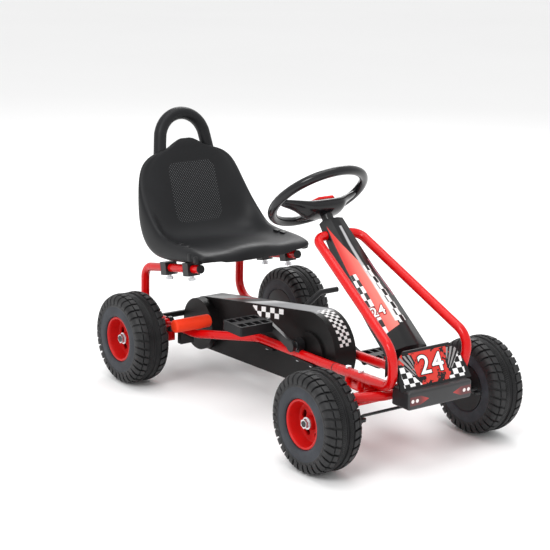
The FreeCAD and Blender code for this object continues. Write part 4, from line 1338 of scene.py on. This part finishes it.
# ------------------------------------------------------------------ studio
@dataclass
class Studio:
    """Camera, floor and lights."""

    eye: Tuple[float, float, float] = (-1.99378, -2.62291, 1.15056)
    yaw: float = 36.209
    pitch: float = 14.750
    roll: float = 1.265
    lens: float = 106.03
    floor_size: float = 30.0
    floor_drop: float = 0.0005
    world_strength: float = 0.95
    aim: Tuple[float, float, float] = (0.0, 0.0, 0.2)
    lamps: Tuple[Tuple[str, Tuple[float, float, float], float, float], ...] = (
        ("lamp_key", (-2.4, -1.2, 2.6), 1.2, 42.0),
        ("lamp_rim", (1.6, 2.0, 2.2), 1.2, 26.0),
        ("lamp_top", (0.0, 0.0, 3.0), 2.0, 30.0))

    def camera(self) -> None:
        """Places the camera."""
        yaw, pitch, roll = (math.radians(a) for a in (self.yaw, self.pitch, self.roll))
        look = Vector((math.sin(yaw) * math.cos(pitch), math.cos(yaw) * math.cos(pitch), -math.sin(pitch)))
        right = Vector((math.cos(yaw), -math.sin(yaw), 0.0))
        up = right.cross(look)
        across = math.cos(roll) * right + math.sin(roll) * up
        high = -math.sin(roll) * right + math.cos(roll) * up
        data = bpy.data.cameras.new("studio_camera")
        data.sensor_width = 36.0
        data.lens = self.lens
        data.clip_end = 60.0
        cam = bpy.data.objects.new("studio_camera", data)
        turn = Matrix((across, high, -look)).transposed().to_4x4()
        turn.translation = Vector(self.eye)
        cam.matrix_world = turn
        bpy.context.scene.collection.objects.link(cam)
        bpy.context.scene.camera = cam

    def floor(self) -> None:
        """Lays a wide pale floor."""
        bm = bmesh.new()
        bmesh.ops.create_grid(bm, x_segments=1, y_segments=1, size=self.floor_size)
        mesh = bpy.data.meshes.new("studio_floor")
        bm.to_mesh(mesh)
        bm.free()
        floor = bpy.data.objects.new("studio_floor", mesh)
        floor.location = (0.0, 0.0, -self.floor_drop)
        bpy.context.scene.collection.objects.link(floor)
        bench = Bench("studio_paper")
        tone = bench.mix(bench.noise(0.8, 2.0), (0.90, 0.90, 0.90), (0.93, 0.93, 0.93))
        mesh.materials.append(bench.finish({"Roughness": 0.9, "Specular IOR Level": 0.1}, Base_Color=tone))

    def lamp(self, name: str, spot: Tuple[float, float, float], size: float, power: float) -> None:
        """Adds one soft area lamp.

        Args:
            name: The lamp's name.
            spot: Where it stands.
            size: Its side in metres.
            power: Its power in watts.
        """
        data = bpy.data.lights.new(name, "AREA")
        data.shape = "SQUARE"
        data.size = size
        data.energy = power
        made = bpy.data.objects.new(name, data)
        made.location = spot
        made.rotation_euler = (Vector(self.aim) - Vector(spot)).to_track_quat("-Z", "Y").to_euler()
        bpy.context.scene.collection.objects.link(made)

    def lights(self) -> None:
        """Sets the world and the lamps."""
        world = bpy.data.worlds.new("studio_world")
        world.use_nodes = True
        world.node_tree.nodes["Background"].inputs["Color"].default_value = (1.0, 1.0, 1.0, 1.0)
        world.node_tree.nodes["Background"].inputs["Strength"].default_value = self.world_strength
        bpy.context.scene.world = world
        bpy.context.scene.view_settings.view_transform = "Standard"
        for lamp in self.lamps:
            self.lamp(*lamp)

    def build(self) -> None:
        """Makes the whole studio."""
        self.camera()
        self.floor()
        self.lights()


@dataclass
class PaintShop:
    """Every finish of the kart that isn't a print."""

    seat: bpy.types.Material
    slot: bpy.types.Material
    gloss: bpy.types.Material
    hub_red: bpy.types.Material
    wall: bpy.types.Material
    tread: bpy.types.Material
    ink: Tuple[bpy.types.Material, ...]
    by_slot: Dict[str, bpy.types.Material]

    @classmethod
    def open(cls) -> "PaintShop":
        """Makes the finishes."""
        red = PowderCoat("red_powder_coat", (0.66, 0.001, 0.002)).make()
        dark = PowderCoat("black_powder_coat", (0.012, 0.012, 0.013), 0.32, 0.3).make()
        seat = DottedSeat().make()
        slot = Moulding("slot_moulding", (0.005, 0.005, 0.006), 0.3).make()
        black = Moulding("black_moulding", (0.009, 0.009, 0.010), 0.38).make()
        gloss = Moulding("gloss_moulding", (0.005, 0.005, 0.006), 0.18, 500.0, 0.00002, 0.35).make()
        hub_red = Moulding("hub_moulding", (0.66, 0.010, 0.008), 0.34, 700.0, 0.00004, 0.15,
                           (0.6, 0.3, 0.3)).make()
        grip = Moulding("brake_grip_moulding", (0.82, 0.040, 0.010), 0.5, 700.0, 0.00005, 0.0,
                        (0.8, 0.3, 0.2)).make()
        zinc = Zinc("zinc_plate").make()
        chain = Zinc("oiled_chain", (0.30, 0.30, 0.31), 0.4).make()
        wall = TyreSkin("tyre_sidewall", (0.020, 0.023, 0.029), 0.5, 0.08).make()
        tread = TyreSkin("tyre_tread", (0.0085, 0.0085, 0.0092), 0.42, 0.08).make()
        ink = (Moulding("ink_red", (0.62, 0.02, 0.015), 0.3, 700.0, 0.00001).make(),
               Moulding("ink_black", (0.008, 0.008, 0.009), 0.3, 700.0, 0.00001).make(),
               Moulding("ink_white", (0.80, 0.80, 0.78), 0.3, 700.0, 0.00001, 0.0, (0.6, 0.6, 0.6)).make())
        by_slot = {"red_paint": red, "black_paint": dark, "black_plastic": black, "black_gloss": gloss,
                   "red_hub": hub_red, "grip_red": grip, "bolt_steel": zinc, "chain_steel": chain,
                   "printed": black, "tyre": tread}
        return cls(seat, slot, gloss, hub_red, wall, tread, ink, by_slot)


def printed(centre: Vector, up: Vector) -> Dict[str, bpy.types.Material]:
    """Makes the finishes that hold a pattern laid out for one node.

    Args:
        centre: The steering wheel's middle.
        up: The steering column's direction.

    Returns:
        The material of each such node.
    """
    cover = CoverPrint("cover_print", *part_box("cover_left")).make()
    plate_low, plate_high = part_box("fairing")
    bumper_low, bumper_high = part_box("bumper")
    prints = {"cover_left": cover, "cover_right": cover,
              "shroud": ShroudPrint("shroud_print", centre, up).make(),
              "fairing": FairingPrint("fairing_print", plate_low.z, plate_high.z).make(),
              "bumper": BumperPrint("bumper_print", bumper_low.y,
                                    0.5 * (bumper_low.z + bumper_high.z)).make()}
    for end in ("front", "rear"):
        low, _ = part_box(f"{end}_hub_left")
        skin = HubMoulding(f"{end}_hub_moulding", low.x).make()
        prints[f"{end}_hub_left"] = skin
        prints[f"{end}_hub_right"] = skin
    return prints


@dataclass(frozen=True)
class RaceNumbers:
    """The number on the front plate and on the shroud's left panel, in metres."""

    digits: str = "24"
    plate_rake: float = 28.0
    plate_rise: float = 0.040
    plate_size: float = 0.052
    plate_wide: float = 1.15
    shroud_spot: Tuple[float, float, float] = (-0.0275, 0.0530, -0.288)
    shroud_across: Tuple[float, float] = (28.2, 14.4)
    shroud_climb: Tuple[float, float] = (0.039, -0.19)
    shroud_shift: Tuple[float, float, float] = (0.002, -0.008, 0.0012)
    shroud_size: float = 0.031
    shroud_wide: float = 0.9

    def on_plate(self, maker: Maker, ink: Tuple[bpy.types.Material, ...]) -> None:
        """Lays the number on the front plate.

        Args:
            maker: What hangs pieces on bodies.
            ink: Materials from the lowest layer up.
        """
        low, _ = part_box("fairing")
        rake = math.radians(self.plate_rake)
        rise = Vector((0, math.sin(rake), math.cos(rake)))
        middle = Vector((0.0, low.y, low.z)) + rise * self.plate_rise
        NumberDecal("front_number", self.digits, self.plate_size, middle, Vector((1, 0, 0)), rise, ink,
                    self.plate_wide).build(maker)

    def on_shroud(self, maker: Maker, ink: Tuple[bpy.types.Material, ...], centre: Vector,
                  up: Vector) -> None:
        """Lays the number on the shroud.

        Args:
            maker: What hangs pieces on bodies.
            ink: Materials from the lowest layer up.
            centre: The steering wheel's middle.
            up: The steering column's direction.
        """
        right = Vector((1, 0, 0))
        ahead = right.cross(up).normalized()
        side, fore, rise = self.shroud_spot
        at = centre + up * rise + ahead * fore + right * side
        across = (right * self.shroud_across[0] + ahead * self.shroud_across[1]).normalized()
        climb = (up + ahead * self.shroud_climb[1] + right * self.shroud_climb[0]).normalized()
        climb = (climb - across * climb.dot(across)).normalized()
        along, upward, out = self.shroud_shift
        at += across * along + climb * upward + across.cross(climb) * out
        NumberDecal("shroud_number", self.digits, self.shroud_size, at, across, climb, ink,
                    self.shroud_wide).build(maker)


def main() -> None:
    """Builds every piece in order."""
    logging.basicConfig(level=logging.INFO)
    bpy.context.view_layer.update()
    maker = Maker()
    Studio().build()
    shop = PaintShop.open()
    joints = {j["name"]: j for j in frame["record"]["behaviour"]["joints"]}
    steer = joints["steering_turn"]
    centre, up = Vector(steer["pos_m"]), Vector(steer["axis"]).normalized()
    prints = printed(centre, up)
    for side in Side:
        tag = side.word[0]
        KartWheel(side, "front", f"front_wheel_{tag}", tyre_mats=(shop.wall, shop.tread)).build(maker)
        KartWheel(side, "rear", "rear_drive", tyre_mats=(shop.wall, shop.tread)).build(maker)
    BucketSeat(shop.seat, shop.slot).build(maker)
    SteeringWheel(shop.gloss, shop.hub_red, centre, up).build(maker)
    numbers = RaceNumbers()
    numbers.on_plate(maker, shop.ink)
    numbers.on_shroud(maker, shop.ink, centre, up)
    done = {"seat", "steering_wheel", "steering_cap"}
    done |= {f"{end}_tyre_{side.word}" for end in ("front", "rear") for side in Side}
    for node, slot in sorted(maker.slots.items()):
        if node not in done:
            maker.smooth_copy(node, prints.get(node, shop.by_slot[slot]))


if __name__ == "__main__":
    main()
